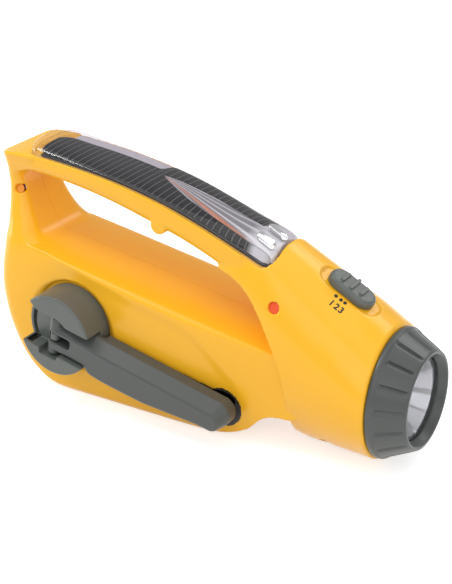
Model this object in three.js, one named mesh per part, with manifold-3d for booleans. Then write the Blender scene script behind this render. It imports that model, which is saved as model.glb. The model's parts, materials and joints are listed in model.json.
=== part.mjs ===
// Hand crank flashlight with a solar handle: a moulded two-shell housing, a folding crank that drives
// a small generator through two pairs of gears, a reflector head, a slide switch and a clear-covered
// solar panel along the top of the handle. Millimetres: +X to the lens, +Z up, crank on the -Y side.
// The origin is the middle of the flat foot, on the plane where the two shells meet.
import * as THREE from "three";
import { mergeVertices } from "three/addons/utils/BufferGeometryUtils.js";
import Module from "manifold-3d";

const wasm = await Module();
wasm.setup();

// Housing: overall sizes that its outlines follow
const bodyLength = 193.5;
const bodyHeight = 112.6;
const bodyHalfWidth = 26.4;
const housingWall = 2.4;
const footCornerRadius = 4.8;
const rearCornerRadius = 8.5;
const heelRadius = 34;
const handleHalfWidth = 17.6;
const handleEdgeRadius = 1.4;
const gripRadius = 5;
const headRingRadius = 29.6;
const headRingLip = 0.7;
const headRingHeight = 31.4;
const partingGap = 0.3;

// Housing outlines as shares: places from the rear by its length, heights by its height, and
// half-widths by its half-width, each row a place and a value
const rearShare = 0.34;
const rimShares = [[-0.02, 0.988], [0.08, 1.002], [0.19, 0.9892], [0.3, 0.9655], [0.38, 0.9399],
  [0.465, 0.9044], [0.565, 0.8472], [0.645, 0.793], [0.715, 0.7427], [0.78, 0.6944]];
const undersideShares = [[0.02, 0.9251], [0.14, 0.9113], [0.237, 0.8896], [0.34, 0.8521], [0.443, 0.8028],
  [0.52, 0.7624], [0.61, 0.6983], [0.7, 0.6057]];
const floorShares = [[0, 0.6737], [1, 0.373]];
const crownShares = [[0, 0], [0.35, 0.003], [0.65, 0.009], [0.85, 0.017], [0.94, 0.027], [1, 0.05], [1.2, 0.2]];
const heelLeanShares = [[0, 0.012], [0.1325, 0.015], [0.2212, 0.014], [0.33, 0.003], [0.4282, -0.004],
  [0.52, -0.001], [0.586, 0.004], [0.65, 0.006], [0.7634, 0.007], [0.8817, 0.01], [1, 0.011]];
const toeShares = [[0, 0.588], [0.02, 0.635], [0.04, 0.669], [0.0622, 0.6956], [0.0986, 0.7173],
  [0.1243, 0.7318], [0.146, 0.752], [0.155, 0.773], [0.158, 0.8], [0.165, 0.825], [0.7043, 0.825]];
const sideShares = [[0, 0.975], [0.1325, 0.99], [0.3395, 1], [0.4578, 0.985], [0.5564, 0.945], [0.61, 0.905],
  [0.6451, 0.855], [0.68, 0.785]];
const taperShares = [[0.4, 1], [0.55, 0.985], [0.7, 0.935], [0.83, 0.9]];
const columnFrontShares = [[0.5071, 0.24], [0.586, 0.2], [0.6155, 0.148], [0.6323, 0.126], [0.652, 0.104],
  [0.6944, 0.088], [0.7536, 0.071], [0.8324, 0.055], [0.8669, 0.051], [0.8945, 0.053], [0.9123, 0.064],
  [0.9231, 0.087], [0.9409, 0.12], [1.0, 0.12]];
const columnCornerShares = [[0.5071, 0.45], [0.6648, 0.44], [0.7536, 0.28], [0.8324, 0.17], [1.0, 0.17]];
const columnSideShares = [[0.5071, 0.92], [0.6057, 0.9], [0.6451, 0.85], [0.68, 0.775], [0.7043, 0.725],
  [0.75, 0.655], [0.793, 0.602], [0.8521, 0.57], [0.9113, 0.605], [0.9655, 0.67], [0.9901, 0.705], [1, 0.685]];
const ridgeShares = [[0.609, 0.724], [0.609, 0.6983], [0.65, 0.6767], [0.686, 0.6431], [0.717, 0.5909],
  [0.738, 0.5416], [0.759, 0.4825], [0.774, 0.4282], [0.789, 0.3543], [0.799, 0.2705], [0.8025, 0.1917],
  [0.8, 0.1128], [0.795, -0.0351]];
const headTopShares = [[0.55, 0.9014], [0.609, 0.8965], [0.67, 0.863], [0.734, 0.8086], [0.785, 0.7603],
  [0.841, 0.7061], [0.883, 0.6608], [0.934, 0.6185], [1, 0.5417]];
const headBottomShares = [[0.55, 0.08], [0.73, 0.05], [0.795, 0.03], [0.836, 0.02], [0.88, 0.0195],
  [0.94, 0.016], [1, 0.016]];
const headWidthShares = [[0.55, 0.66], [0.609, 0.727], [0.686, 0.85], [0.717, 0.905], [0.759, 0.97],
  [0.79, 1], [0.857, 1.052], [0.929, 1.1], [1, 1.1212]];
const ringPullShares = [[0.7, 0], [1, 1]];
const headSquarenessShares = [[0.6, 2.35], [0.75, 2.25], [0.88, 2.1], [0.97, 2], [1, 2]];
const trunkLevelShares = [0.08, 0.1, 0.1243, 0.146, 0.155, 0.165, 0.2311, 0.3395, 0.4578, 0.5564, 0.62, 0.68];
const columnTopShare = 0.08;
const columnLevelShares = [0.5663, 0.6155, 0.6402, 0.68, 0.72, 0.7622, 0.8028, 0.862, 0.9014, 0.9231, 0.9507,
  0.98, 1];
const handleStationShares = [0.04, 0.14, 0.237, 0.34, 0.443, 0.52, 0.58, 0.63, 0.68];
const headStationShares = [0.56, 0.64, 0.7, 0.75, 0.8, 0.85, 0.9, 0.95];
const lastBarStationDropShare = 0.03;
const cornerLimitShare = 0.92;

// Solar cover, the panel under it and the ribbed strip set into the panel
const coverHalfWidth = 16.8;
const coverThickness = 1.4;
const coverCornerRadius = 7;
const coverEndRadius = 3.4;
const coverSideGap = 0.35;
const coverRearShare = 0.084;
const coverFrontShare = 0.743;
const crestShares = [[0.08, 1.064], [0.11, 1.051], [0.19, 1.0289], [0.26, 1.008], [0.315, 0.9902],
  [0.39, 0.9646], [0.48, 0.9251], [0.609, 0.868], [0.69, 0.8406], [0.743, 0.8084]];
const archShares = [[0.1, 2.6], [0.5, 2.4], [0.65, 1.9], [0.743, 1.7]];
const coverBendShares = [0, 0.1, 0.4, 1];
const coverStationShares = [0.16, 0.24, 0.33, 0.42, 0.51, 0.59, 0.65];
const bedDepth = 0.9;
const panelDepth = 2.6;
const panelThickness = 1;
const panelFootRise = 0.7;
const coverRearRiseShare = 0.12;
const trayGap = 0.3;
const trayWall = 1;
const stripShares = [[0.441, -0.26], [0.465, -0.5], [0.516, -0.64], [0.6, -0.74], [0.665, -0.79], [0.69, -0.86],
  [0.76, -0.86], [0.76, 0.86], [0.69, 0.82], [0.68, -0.3], [0.6, -0.3], [0.515, -0.12], [0.46, -0.2]];
const lozengeShares = [[0.712, -0.28], [0.706, 0.16]];
const lozengeLength = 7.5;
const lozengeWidth = 3.6;
const lozengeRise = 0.9;

// Crank hub, at its place on the side of the housing, with heights that start at the housing's side
const hubPlaceShares = [0.2258, 0.3321];
const hubRadius = 19.5;
const hubRise = 14.1;
const hubSink = 2.9;
const hubEdge = 1;
const hubRecessGap = 1.5;
const hubCollarRadius = 24.6;
const hubCollarRise = 0.4;
const hubCollarDrop = 2.2;
const hubBearingRadius = 5;
const bushingWall = 2.2;
const bushingFlange = 1.8;
const bushingFlangeThickness = 0.8;
const bearingBossRadius = 23.4;
const bearingBossDepth = 3.2;
const channelDepth = 10.5;
const channelShares = [[-1.3, -0.5], [-0.375, -0.5], [-0.345, -0.63], [0.14, -0.63], [0.17, -0.5], [1.3, -0.5],
  [1.3, 0.36], [0.3, 0.36], [0.08, 0.475], [-0.56, 0.475], [-0.8, 0.63], [-1.3, 0.8]];
const driveSquare = 6.6;
const hubScrewRadius = 1.3;
const hubScrewHeadRadius = 4;
const hubScrewHeadHeight = 1.4;
const hubScrewLength = 5;

// Crank arm, folded along the side at rest and hinged across the hub; its edges are shares of its
// length and of its half-width, from the line through the hub's middle
const armAngle = -12.8;
const armLength = 91;
const armHalfWidth = 8.7;
const armEdgeShares = [[-0.022, -1.06, 0.73], [0.182, -1.06, 0.71], [0.225, -1.39, 0.65], [0.5275, -1.39, 0.63],
  [0.643, -1.25, 0.62], [0.758, -1.08, 0.61], [0.86, -0.93, 0.6]];
const armTipRadius = 6.7;
const armTipOffset = -1.3;
const armTipReach = 80;
const armClearance = 1;
const armThickness = 11.2;
const armRootThickness = 8.2;
const armBevel = 2.2;
const armShell = 1.5;
const armRootLength = 21.5;
const armHingeU = -2;
const armHingeV = -1.8;
const armHingeHalf = 9.6;
const armEyeRadius = 3;
const armSlotV = -2.45;
const armSlotHalf = 2.5;
const armSlotEnd = 8;
const lugRadius = 2.3;
const lugHalfWidth = 1.9;
const lugHalfLength = 2.3;
const armPinRadius = 1.1;
const armPinReach = 3.4;

// Knob that folds into the arm's hollow underside and swings out square to the arm
const knobRadius = 3.5;
const knobLength = 19;
const knobPivotU = 82;
const knobPivotV = -1.8;
const knobSideGap = 0.3;
const knobPostRadius = 1.2;
const knobEyeRadius = 2.6;
const knobEyeHalfWidth = 2.2;
const knobNeck = 4.4;
const knobBoreGap = 0.3;
const knobCapRadius = 2.2;
const knobCapThickness = 0.9;
const knobEdge = 0.8;
const foldPinRadius = 0.9;
const wellClearance = 1.3;
const wellWall = 1.5;
const scoopRadius = 12.2;
const scoopFloorRadius = 8.6;
const scoopDepth = 3.8;
const scoopAheadOfPivot = -1.4;

// Gear train: pitch radii and teeth, and the depths between the planes that the gears turn in
const drivePitchRadius = 22;
const driveTeeth = 44;
const pinionTeeth = 12;
const wheelPitchRadius = 16;
const wheelTeeth = 40;
const rotorTeeth = 10;
const addendumShare = 0.8;
const dedendumShare = 1.1;
const pressureAngle = 20;
const backlashShare = 0.12;
const meshAngle = -11;
const rotorMeshAngle = -17;
const driveGearEndGap = 0.2;
const driveGearThickness = 4.4;
const wheelStep = 6.2;
const wheelThickness = 3.6;
const gearWindowCount = 5;
const gearWindowShares = [0.36, 0.78];
const pinionOverhang = 0.6;
const rotorPinionOverhang = 0.8;
const axleRadius = 1.5;
const axleBossRadius = 4;
const axleSeat = 1.6;
const runningGap = 0.3;
const gearPlateDrop = 2.2;
const gearPlateThickness = 2.4;
const platePostRadius = 2.6;
const platePostShares = [[0.04, 1.45], [0.285, 1], [0.74, 1]];
const platePostClearance = 4;
const plateMargin = 2.2;
const plateScrewRadius = 1;
const plateScrewHeadRadius = 2.1;
const plateScrewHeadHeight = 1.2;
const plateScrewLength = 6;

// Generator
const canRadius = 13;
const canWall = 1.2;
const canLength = 15;
const coilInnerRadius = 8.4;
const coilLength = 9;
const magnetRadius = 7.4;
const magnetLength = 8;
const rotorShaftRadius = 1;
const canEndGap = 1.2;

// Head: bezel, lens, reflector and lamps, as distances ahead of the housing's front ring
const bezelLength = 15.8;
const bezelRearRadius = 28.7;
const bezelShoulder = 2.6;
const bezelShoulderDrop = 0.9;
const bezelFrontRadius = 21.8;
const bezelFrontEdge = 0.7;
const bezelOpeningRadius = 19.9;
const bezelLipRadius = 18.2;
const bezelLipDepth = 3.2;
const bezelSleeveLength = 6;
const bezelLipThickness = 0.8;
const bezelSeatFlare = 1.6;
const bezelSleeveWall = 1.8;
const sleeveGap = 1.1;
const gripCount = 16;
const gripDepth = 1.1;
const gripWidth = 2.4;
const gripStart = 4;
const gripEnd = 13.4;
const gripTipShare = 0.5;
const lensRadius = 21;
const lensThickness = 1.4;
const lensDome = 1.8;
const lensGap = 0.3;
const domeShares = [[0.97, 0.05], [0.75, 0.5], [0.4, 0.87], [0, 1]];
const bowlShares = [[0, 0], [0.3, 0.2], [0.58, 0.46], [0.82, 0.75], [1, 1]];
const reflectorDepth = 19;
const reflectorNeckRadius = 7.4;
const reflectorWall = 1;
const reflectorFlange = 1.2;
const lampRadius = 2.5;
const lampLength = 8.6;
const lampCount = 3;
const lampCircle = 3.5;
const lampRim = 2.9;
const lampRimHeight = 1;
const lampBoardRadius = 12;
const boardThickness = 1.6;

// Slide switch on top of the head
const switchShare = 0.893;
const switchLength = 22.5;
const switchHalfWidth = 5.7;
const switchHeight = 3.8;
const switchEdge = 1.6;
const switchRibHeight = 1;
const switchRibWidth = 1.6;
const switchRibPitch = 4.8;
const switchRibShares = [[-1, 0.62], [0, 0.82], [1, 0.62]];
const switchTravel = 3;
const switchSeat = 1.3;
const switchLift = 0.4;
const stemLength = 4;
const stemWidth = 3;
const slotMargin = 0.8;
const switchBodyLength = 16;
const switchBodyWidth = 8;
const switchBodyHeight = 6;
const switchTrackDepth = 2.4;

// Battery, boards and screws
const cellRadius = 8;
const cellLength = 6.6;
const cellCount = 3;
const cellGap = 0.3;
const cellRimRadius = 6.4;
const cellRimHeight = 0.5;
const batteryPlaceShares = [0.65, 0.3428];
const batteryOuter = 6;
const cradleWall = 1.4;
const cradleDepth = 12;
const boardLength = 30;
const boardHeight = 17;
const boardPlaceShares = [0.57, 0.165];
const boardStand = 10;
const boardPostRadius = 2.4;
const boardPostShares = [-0.4, 0.4];
const capacitorRadius = 4;
const capacitorLength = 7;
const capacitorShare = 0.22;
const screwRadius = 1.3;
const screwHeadRadius = 2.3;
const screwHeadHeight = 1.6;
const screwRecessDepth = 1.8;
const screwBossRadius = 3.8;
const screwGap = 0.3;
const screwSlotLength = 2.8;
const screwSlotWidth = 0.6;
const screwSlotDepth = 0.8;
const slotTurns = [0, 90];
const rearScrewShares = [0.0434, 0.829, 0.57];
const headScrewShares = [0.765, 0.611, 0.9];
const barrelScrewShares = [0.878, 0.067, 0.32];
const handleScrewShares = [0.4537, 0.8126, 0.66];
const rearScrewLength = 20;
const headScrewLength = 34;
const barrelScrewLength = 14;
const handleScrewLength = 22;

// Shared values for cutting, for merging points and for round shapes
const overrun = 1;
const floorOverrun = 10;
const weld = 1e-4;
const roundSides = 28;
const midSides = 18;
const archSides = 12;
const smallSides = 8;
const cornerSteps = 4;

const rearX = -rearShare * bodyLength;
const ringX = rearX + bodyLength;
const atShare = (share) => rearX + share * bodyLength;
const shareOf = (x) => (x - rearX) / bodyLength;
const radians = (degrees) => (degrees * Math.PI) / 180;
const turn = 2 * Math.PI;

const hubX = atShare(hubPlaceShares[0]);
const hubZ = hubPlaceShares[1] * bodyHeight;
const hubBase = bodyHalfWidth - hubSink;
const hubFace = bodyHalfWidth + hubRise;
const channelFloor = hubFace - channelDepth;
const armInner = bodyHalfWidth + armClearance;
const armOuter = armInner + armThickness;
const armHingeW = armOuter - armEyeRadius;
const knobPivotW = armInner + knobRadius + knobSideGap;
const driveModule = (2 * drivePitchRadius) / driveTeeth;
const wheelModule = (2 * wheelPitchRadius) / wheelTeeth;
const bossInner = hubBase - runningGap - bearingBossDepth;
const driveGearInner = bossInner - runningGap - bushingFlangeThickness - driveGearEndGap - driveGearThickness;
const wheelInner = driveGearInner - wheelStep;
const gearPlateOuter = wheelInner - gearPlateDrop;
const wallInside = bodyHalfWidth - housingWall;
const batteryX = atShare(batteryPlaceShares[0]);
const batteryZ = batteryPlaceShares[1] * bodyHeight;
const boardX = atShare(boardPlaceShares[0]);
const boardZ = boardPlaceShares[1] * bodyHeight;
const boardOuter = boardStand - wallInside;

const paint = {
  shell: new THREE.MeshStandardMaterial({ color: 0xfabe2d, roughness: 0.3 }),
  grip: new THREE.MeshStandardMaterial({ color: 0x69706b, roughness: 0.45 }),
  clear: new THREE.MeshStandardMaterial({ color: 0xe8eef2, roughness: 0.05, transparent: true, opacity: 0.35 }),
  cell: new THREE.MeshStandardMaterial({ color: 0x23262a, roughness: 0.25 }),
  mirror: new THREE.MeshStandardMaterial({ color: 0xe6e8ea, roughness: 0.08, metalness: 1 }),
  steel: new THREE.MeshStandardMaterial({ color: 0xb9bcc0, roughness: 0.3, metalness: 1 }),
  copper: new THREE.MeshStandardMaterial({ color: 0xb4622d, roughness: 0.35, metalness: 1 }),
  board: new THREE.MeshStandardMaterial({ color: 0x1f6b3c, roughness: 0.5 }),
  gear: new THREE.MeshStandardMaterial({ color: 0xf1efe6, roughness: 0.5 }),
  dark: new THREE.MeshStandardMaterial({ color: 0x2b2d2f, roughness: 0.5 }),
};

// Value at a place of a table of [place, value] rows, on a smooth curve through its rows
function through(table, at) {
  const last = table.length - 1;
  if (at <= table[0][0]) return table[0][1];
  if (at >= table[last][0]) return table[last][1];
  const i = table.findIndex((row) => row[0] > at) - 1;
  const slope = (k) => {
    const a = table[Math.max(k - 1, 0)];
    const b = table[Math.min(k + 1, last)];
    return (b[1] - a[1]) / (b[0] - a[0]);
  };
  const span = table[i + 1][0] - table[i][0];
  const t = (at - table[i][0]) / span;
  const start = table[i][1] * (1 + 2 * t) + slope(i) * span * t;
  const end = table[i + 1][1] * (3 - 2 * t) - slope(i + 1) * span * (1 - t);
  return start * (1 - t) ** 2 + end * t ** 2;
}

const alongBody = (table) => (x) => through(table, shareOf(x)) * bodyHeight;
const rimAt = alongBody(rimShares);
const undersideAt = alongBody(undersideShares);
const crestAt = alongBody(crestShares);
// A line along the head in shares of a size, drawn to its own value where the round front ring is
const towardsRing = (table, size, ringValue) => (x) => {
  const pull = through(ringPullShares, shareOf(x));
  const miss = ringValue - table[table.length - 1][1] * size;
  return through(table, shareOf(x)) * size + pull * miss;
};
const headTopAt = towardsRing(headTopShares, bodyHeight, headRingHeight + headRingRadius);
const headBottomAt = towardsRing(headBottomShares, bodyHeight, headRingHeight - headRingRadius);
const headHalfWidthAt = towardsRing(headWidthShares, bodyHalfWidth, headRingRadius);
const floorAt = (x) => {
  const [[, rear], [, front]] = floorShares;
  return (rear + (front - rear) * shareOf(x)) * bodyHeight;
};

// Frames: side has z out of the crank's side, crank turns about the hub, arm runs along the folded
// arm, head has z ahead of the front ring, slope lies on the head's top under the switch
const side = new THREE.Group();
side.rotation.x = Math.PI / 2;
const crank = new THREE.Group();
crank.position.set(hubX, hubZ, 0);
const arm = new THREE.Group();
arm.rotation.z = radians(armAngle);
const head = new THREE.Group();
head.rotation.y = Math.PI / 2;
head.position.set(ringX, 0, headRingHeight);
const slope = new THREE.Group();
const slopeX = atShare(switchShare);
const slopeReach = switchLength / 2;
const slopeDrop = headTopAt(slopeX - slopeReach) - headTopAt(slopeX + slopeReach);
slope.rotation.y = Math.atan2(slopeDrop, switchLength);
slope.position.set(slopeX, 0, (headTopAt(slopeX - slopeReach) + headTopAt(slopeX + slopeReach)) / 2);
const flashlight = new THREE.Group();
flashlight.add(side, head, slope);
side.add(crank);
crank.add(arm);
flashlight.updateMatrixWorld(true);

// A closed geometry as a manifold-3d solid that faces out, and back
function solid(geometry) {
  const bare = geometry.clone();
  bare.deleteAttribute("normal");
  bare.deleteAttribute("uv");
  const merged = mergeVertices(bare, weld);
  const vertProperties = merged.attributes.position.array;
  const faces = [];
  const corners = merged.index.array;
  for (let i = 0; i < corners.length; i += 3) {
    const [a, b, c] = corners.slice(i, i + 3);
    if (a !== b && b !== c && c !== a) faces.push(a, b, c);
  }
  const made = (triVerts) => new wasm.Manifold(new wasm.Mesh({ numProp: 3, vertProperties, triVerts }));
  const body = made(new Uint32Array(faces));
  return body.volume() >= 0 ? body : made(new Uint32Array(faces.reverse()));
}

function geometryOf(body) {
  const mesh = body.getMesh();
  const places = new Float32Array(mesh.numVert * 3);
  for (let i = 0; i < mesh.numVert; i += 1) {
    places.set(mesh.vertProperties.subarray(i * mesh.numProp, i * mesh.numProp + 3), i * 3);
  }
  const geometry = new THREE.BufferGeometry();
  geometry.setAttribute("position", new THREE.BufferAttribute(places, 3));
  geometry.setIndex(new THREE.BufferAttribute(new Uint32Array(mesh.triVerts), 1));
  geometry.computeVertexNormals();
  return geometry;
}

const join = (...bodies) => bodies.reduce((sum, body) => sum.add(body));
const cut = (body, ...tools) => tools.reduce((left, tool) => left.subtract(tool), body);
const placed = (body, group) => solid(geometryOf(body).applyMatrix4(group.matrixWorld));
const moved = (body, x, y, z) => solid(geometryOf(body).translate(x, y, z));

// Adds a named mesh to a group, at a place in that group's frame
function piece(group, name, body, material, x = 0, y = 0, z = 0) {
  const mesh = new THREE.Mesh(geometryOf(body), material);
  mesh.name = name;
  mesh.position.set(x, y, z);
  group.add(mesh);
}

// Closed skin over rings with as many points each, each end closed by a fan about its middle
function loft(rings) {
  const count = rings[0].length;
  const places = rings.flat(2);
  const index = [];
  for (let r = 0; r + 1 < rings.length; r += 1) {
    for (let k = 0; k < count; k += 1) {
      const a = r * count + k;
      const b = r * count + ((k + 1) % count);
      index.push(a, b, b + count, a, b + count, a + count);
    }
  }
  const close = (start, turned) => {
    const middle = [0, 1, 2].map((axis) => {
      const sum = rings[start / count].reduce((total, p) => total + p[axis], 0);
      return sum / count;
    });
    const centre = places.length / 3;
    places.push(...middle);
    for (let k = 0; k < count; k += 1) {
      const edge = [start + k, start + ((k + 1) % count)];
      if (turned) edge.reverse();
      index.push(centre, edge[1], edge[0]);
    }
  };
  close(0, false);
  close((rings.length - 1) * count, true);
  const geometry = new THREE.BufferGeometry();
  geometry.setAttribute("position", new THREE.Float32BufferAttribute(places, 3));
  geometry.setIndex(index);
  return solid(geometry);
}

// Flat outline of [x, y] points from one z to another
function slab(outline, from, to) {
  const shape = new THREE.Shape(outline.map(([x, y]) => new THREE.Vector2(x, y)));
  const geometry = new THREE.ExtrudeGeometry(shape, { depth: to - from, bevelEnabled: false });
  return solid(geometry.translate(0, 0, from));
}

// The same outline given in x and z, cut through across the whole width
function sideCut(outline) {
  const shape = new THREE.Shape(outline.map(([x, z]) => new THREE.Vector2(x, z)));
  const depth = 4 * bodyHalfWidth;
  const geometry = new THREE.ExtrudeGeometry(shape, { depth, bevelEnabled: false });
  return solid(geometry.rotateX(Math.PI / 2).translate(0, depth / 2, 0));
}

function box(x0, x1, y0, y1, z0, z1) {
  const geometry = new THREE.BoxGeometry(x1 - x0, y1 - y0, z1 - z0);
  return solid(geometry.translate((x0 + x1) / 2, (y0 + y1) / 2, (z0 + z1) / 2));
}

// A profile of [radius, z] rows turned about z
function turned(profile, sides = roundSides) {
  const points = profile.map(([radius, z]) => new THREE.Vector2(radius, z));
  return solid(new THREE.LatheGeometry(points, sides).rotateX(Math.PI / 2));
}

const disc = (radius, from, to, sides = roundSides) =>
  turned([[0, from], [radius, from], [radius, to], [0, to]], sides);
const tube = (inner, outer, from, to, sides = roundSides) =>
  turned([[inner, from], [outer, from], [outer, to], [inner, to], [inner, from]], sides);
// A disc about the y axis of its own frame
const barrel = (radius, from, to, sides = smallSides) =>
  solid(geometryOf(disc(radius, from, to, sides)).rotateX(-Math.PI / 2));

// Points of an arc of a circle, from one angle to another
function arc(x, y, radius, from, to, steps = cornerSteps) {
  const points = [];
  for (let k = 0; k <= steps; k += 1) {
    const angle = radians(from + ((to - from) * k) / steps);
    points.push([x + radius * Math.cos(angle), y + radius * Math.sin(angle)]);
  }
  return points;
}

// Rectangle with round corners about a middle
const roundedBox = (x, y, halfX, halfY, radius, steps = cornerSteps) => [
  ...arc(x + halfX - radius, y - halfY + radius, radius, -90, 0, steps),
  ...arc(x + halfX - radius, y + halfY - radius, radius, 0, 90, steps),
  ...arc(x - halfX + radius, y + halfY - radius, radius, 90, 180, steps),
  ...arc(x - halfX + radius, y - halfY + radius, radius, 180, 270, steps),
];

// Rear line of the housing at a height, moved in by an inset
function rearAt(z, inset) {
  const lean = through(heelLeanShares, z / bodyHeight) * bodyLength;
  const below = Math.max(heelRadius - z, 0);
  const reach = heelRadius - inset;
  return rearX + lean + heelRadius - Math.sqrt(reach ** 2 - Math.min(below, reach) ** 2);
}

// An outline given against the clock, moved out by a margin all round
function grown(outline, margin) {
  const normal = ([x0, y0], [x1, y1]) => {
    const length = Math.hypot(x1 - x0, y1 - y0);
    return [(y1 - y0) / length, (x0 - x1) / length];
  };
  return outline.map((point, k) => {
    const a = normal(outline[(k + outline.length - 1) % outline.length], point);
    const b = normal(point, outline[(k + 1) % outline.length]);
    const reach = margin / (1 + a[0] * b[0] + a[1] * b[1]);
    return [point[0] + reach * (a[0] + b[0]), point[1] + reach * (a[1] + b[1])];
  });
}

// Plan of the lower body at a height: round rear corners and sides that draw in towards the head
function trunkRing(z, inset) {
  const foot = Math.max(footCornerRadius - z, 0);
  const tuck = footCornerRadius - Math.sqrt(Math.max((footCornerRadius - inset) ** 2 - foot ** 2, 0));
  const half = through(sideShares, z / bodyHeight) * bodyHalfWidth - tuck;
  const rear = rearAt(z, inset);
  const front = atShare(through(toeShares, (z - inset) / bodyHeight)) - inset;
  const radius = Math.min(rearCornerRadius - inset, half * cornerLimitShare);
  const halfAt = (x) => half * through(taperShares, shareOf(x));
  const steps = taperShares.length;
  const start = rear + radius;
  const stations = taperShares.map((row, k) => start + ((front - start) * (k + 1)) / steps);
  const far = stations.map((x) => [x, halfAt(x)]);
  const near = stations.map((x) => [x, -halfAt(x)]).reverse();
  const nearCorner = arc(rear + radius, radius - half, radius, 270, 180);
  const farCorner = arc(rear + radius, half - radius, radius, 180, 90);
  const ring = [...near, ...nearCorner, ...farCorner, ...far];
  return ring.map(([x, y]) => [x, y, z]);
}

function trunk(inset) {
  const levels = [];
  for (let k = 0; k <= cornerSteps; k += 1) {
    levels.push(inset + (footCornerRadius - inset) * (1 - Math.cos(radians((90 * k) / cornerSteps))));
  }
  trunkLevelShares.forEach((share) => levels.push(share * bodyHeight));
  const whole = loft(levels.map((z) => trunkRing(z, inset)));
  return cut(whole, aboveFloor(inset));
}

// Everything above the crowned floor of the finger gap
function aboveFloor(inset) {
  const reach = floorOverrun;
  const ring = (x) => {
    const top = 2 * bodyHeight;
    const middle = floorAt(x) - inset;
    const crown = crownShares.map(([place, drop]) => [place * bodyHalfWidth, middle - drop * bodyHeight]);
    const mirrored = crown.slice(1).reverse().map(([y, z]) => [-y, z]);
    const line = [...mirrored, ...crown];
    const last = line[line.length - 1];
    return [...line, [last[0], top], [-last[0], top]].map(([y, z]) => [x, y, z]);
  };
  return loft([ring(rearX - reach), ring(ringX + reach)]);
}

// Upright rear column between the lower body and the handle
function column() {
  const rings = columnLevelShares.map((share) => {
    const z = share * bodyHeight;
    const rear = rearAt(z, 0);
    const front = atShare(through(columnFrontShares, share));
    const half = through(columnSideShares, share) * bodyHalfWidth;
    const depth = (front - rear) / 2;
    const radius = Math.min(through(columnCornerShares, share) * bodyHalfWidth, depth * cornerLimitShare);
    return roundedBox(rear + depth, 0, depth, half, radius).map(([x, y]) => [x, y, z]);
  });
  const ring = (x) => [
    [x, -bodyHalfWidth, rimAt(x)], [x, bodyHalfWidth, rimAt(x)],
    [x, bodyHalfWidth, 2 * bodyHeight], [x, -bodyHalfWidth, 2 * bodyHeight],
  ];
  const above = [rearX - overrun, atShare(columnTopShare), atShare(columnTopShare * 2)];
  return cut(loft(rings), loft(above.map(ring)));
}

// Handle along the top, with well rounded lower edges for the fingers
function handle() {
  const rings = handleStationShares.map((share, k) => {
    const x = atShare(share);
    const last = k === handleStationShares.length - 1;
    const drop = last ? lastBarStationDropShare * bodyHeight : 0;
    const top = rimAt(x) - drop;
    const bottom = undersideAt(x);
    const half = handleHalfWidth;
    const ring = [
      ...arc(half - gripRadius, bottom + gripRadius, gripRadius, -90, 0),
      ...arc(half - handleEdgeRadius, top - handleEdgeRadius, handleEdgeRadius, 0, 90, 2),
      ...arc(-half + handleEdgeRadius, top - handleEdgeRadius, handleEdgeRadius, 90, 180, 2),
      ...arc(-half + gripRadius, bottom + gripRadius, gripRadius, 180, 270),
    ];
    return ring.map(([y, z]) => [x, y, z]);
  });
  return loft(rings);
}

// Section of the head at a place: wide and tall at the rear, a true circle at the front ring
function headRing(x, inset, sides) {
  const half = headHalfWidthAt(x) - inset;
  const top = headTopAt(x) - inset;
  const bottom = headBottomAt(x) + inset;
  const power = 2 / through(headSquarenessShares, shareOf(x));
  const ring = [];
  for (let k = 0; k < sides; k += 1) {
    const angle = (turn * k) / sides;
    const across = Math.sign(Math.cos(angle)) * Math.abs(Math.cos(angle)) ** power;
    const up = Math.sign(Math.sin(angle)) * Math.abs(Math.sin(angle)) ** power;
    ring.push([x, half * across, (top + bottom) / 2 + ((top - bottom) / 2) * up]);
  }
  return ring;
}

// Raised head shell, cut off behind the ridge line that sweeps down both sides
function headShell(inset) {
  const stations = headStationShares.map(atShare);
  const sides = inset ? midSides : roundSides;
  const rings = stations.map((x) => headRing(x, inset, sides));
  rings.push(headRing(ringX - headRingLip, inset, sides));
  rings.push(headRing(inset ? ringX + overrun : ringX, inset || headRingLip, sides));
  const shift = inset / bodyLength;
  const ridge = ridgeShares.map(([x, z]) => [atShare(x + shift), z * bodyHeight]);
  const behind = rearX - bodyLength;
  const high = 2 * bodyHeight;
  const [topX] = ridge[0];
  const [bottomX, bottomZ] = ridge[ridge.length - 1];
  const low = bottomZ - bodyHeight;
  const outline = [[behind, high], [topX, high], ...ridge, [bottomX, low], [behind, low]];
  return cut(loft(rings), sideCut(outline));
}

// Section of the solar cover's outer skin, moved in by a depth, down to a given foot
function archRing(x, depth, footRise, sides) {
  const rearEnd = atShare(coverRearShare) + depth;
  const frontEnd = atShare(coverFrontShare) - depth;
  const fromEnd = Math.min(x - rearEnd, frontEnd - x);
  const radius = coverCornerRadius - depth;
  const lack = Math.max(radius - fromEnd, 0);
  const half = coverHalfWidth - depth - radius + Math.sqrt(Math.max(radius ** 2 - lack ** 2, 0));
  const endRadius = coverEndRadius;
  const rearLack = Math.max(endRadius - (x - rearEnd), 0) / endRadius;
  const rise = Math.sqrt(1 - Math.min(rearLack, 1) ** 2);
  const rim = rimAt(x);
  const height = (crestAt(x) - depth - rim) * (rise + (1 - rise) * coverRearRiseShare);
  const power = 2 / through(archShares, shareOf(x));
  const ring = [[x, half, rim + footRise]];
  for (let k = 0; k <= sides; k += 1) {
    const angle = (Math.PI * k) / sides;
    const across = Math.sign(Math.cos(angle)) * Math.abs(Math.cos(angle)) ** power;
    const up = Math.sin(angle) ** power;
    ring.push([x, half * across, rim + Math.max(height * up, footRise + weld)]);
  }
  ring.push([x, -half, rim + footRise]);
  return ring;
}

function arch(depth, footRise, sides = archSides) {
  return loft(coverPlaces(depth).map((x) => archRing(x, depth, footRise, sides)));
}

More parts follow.
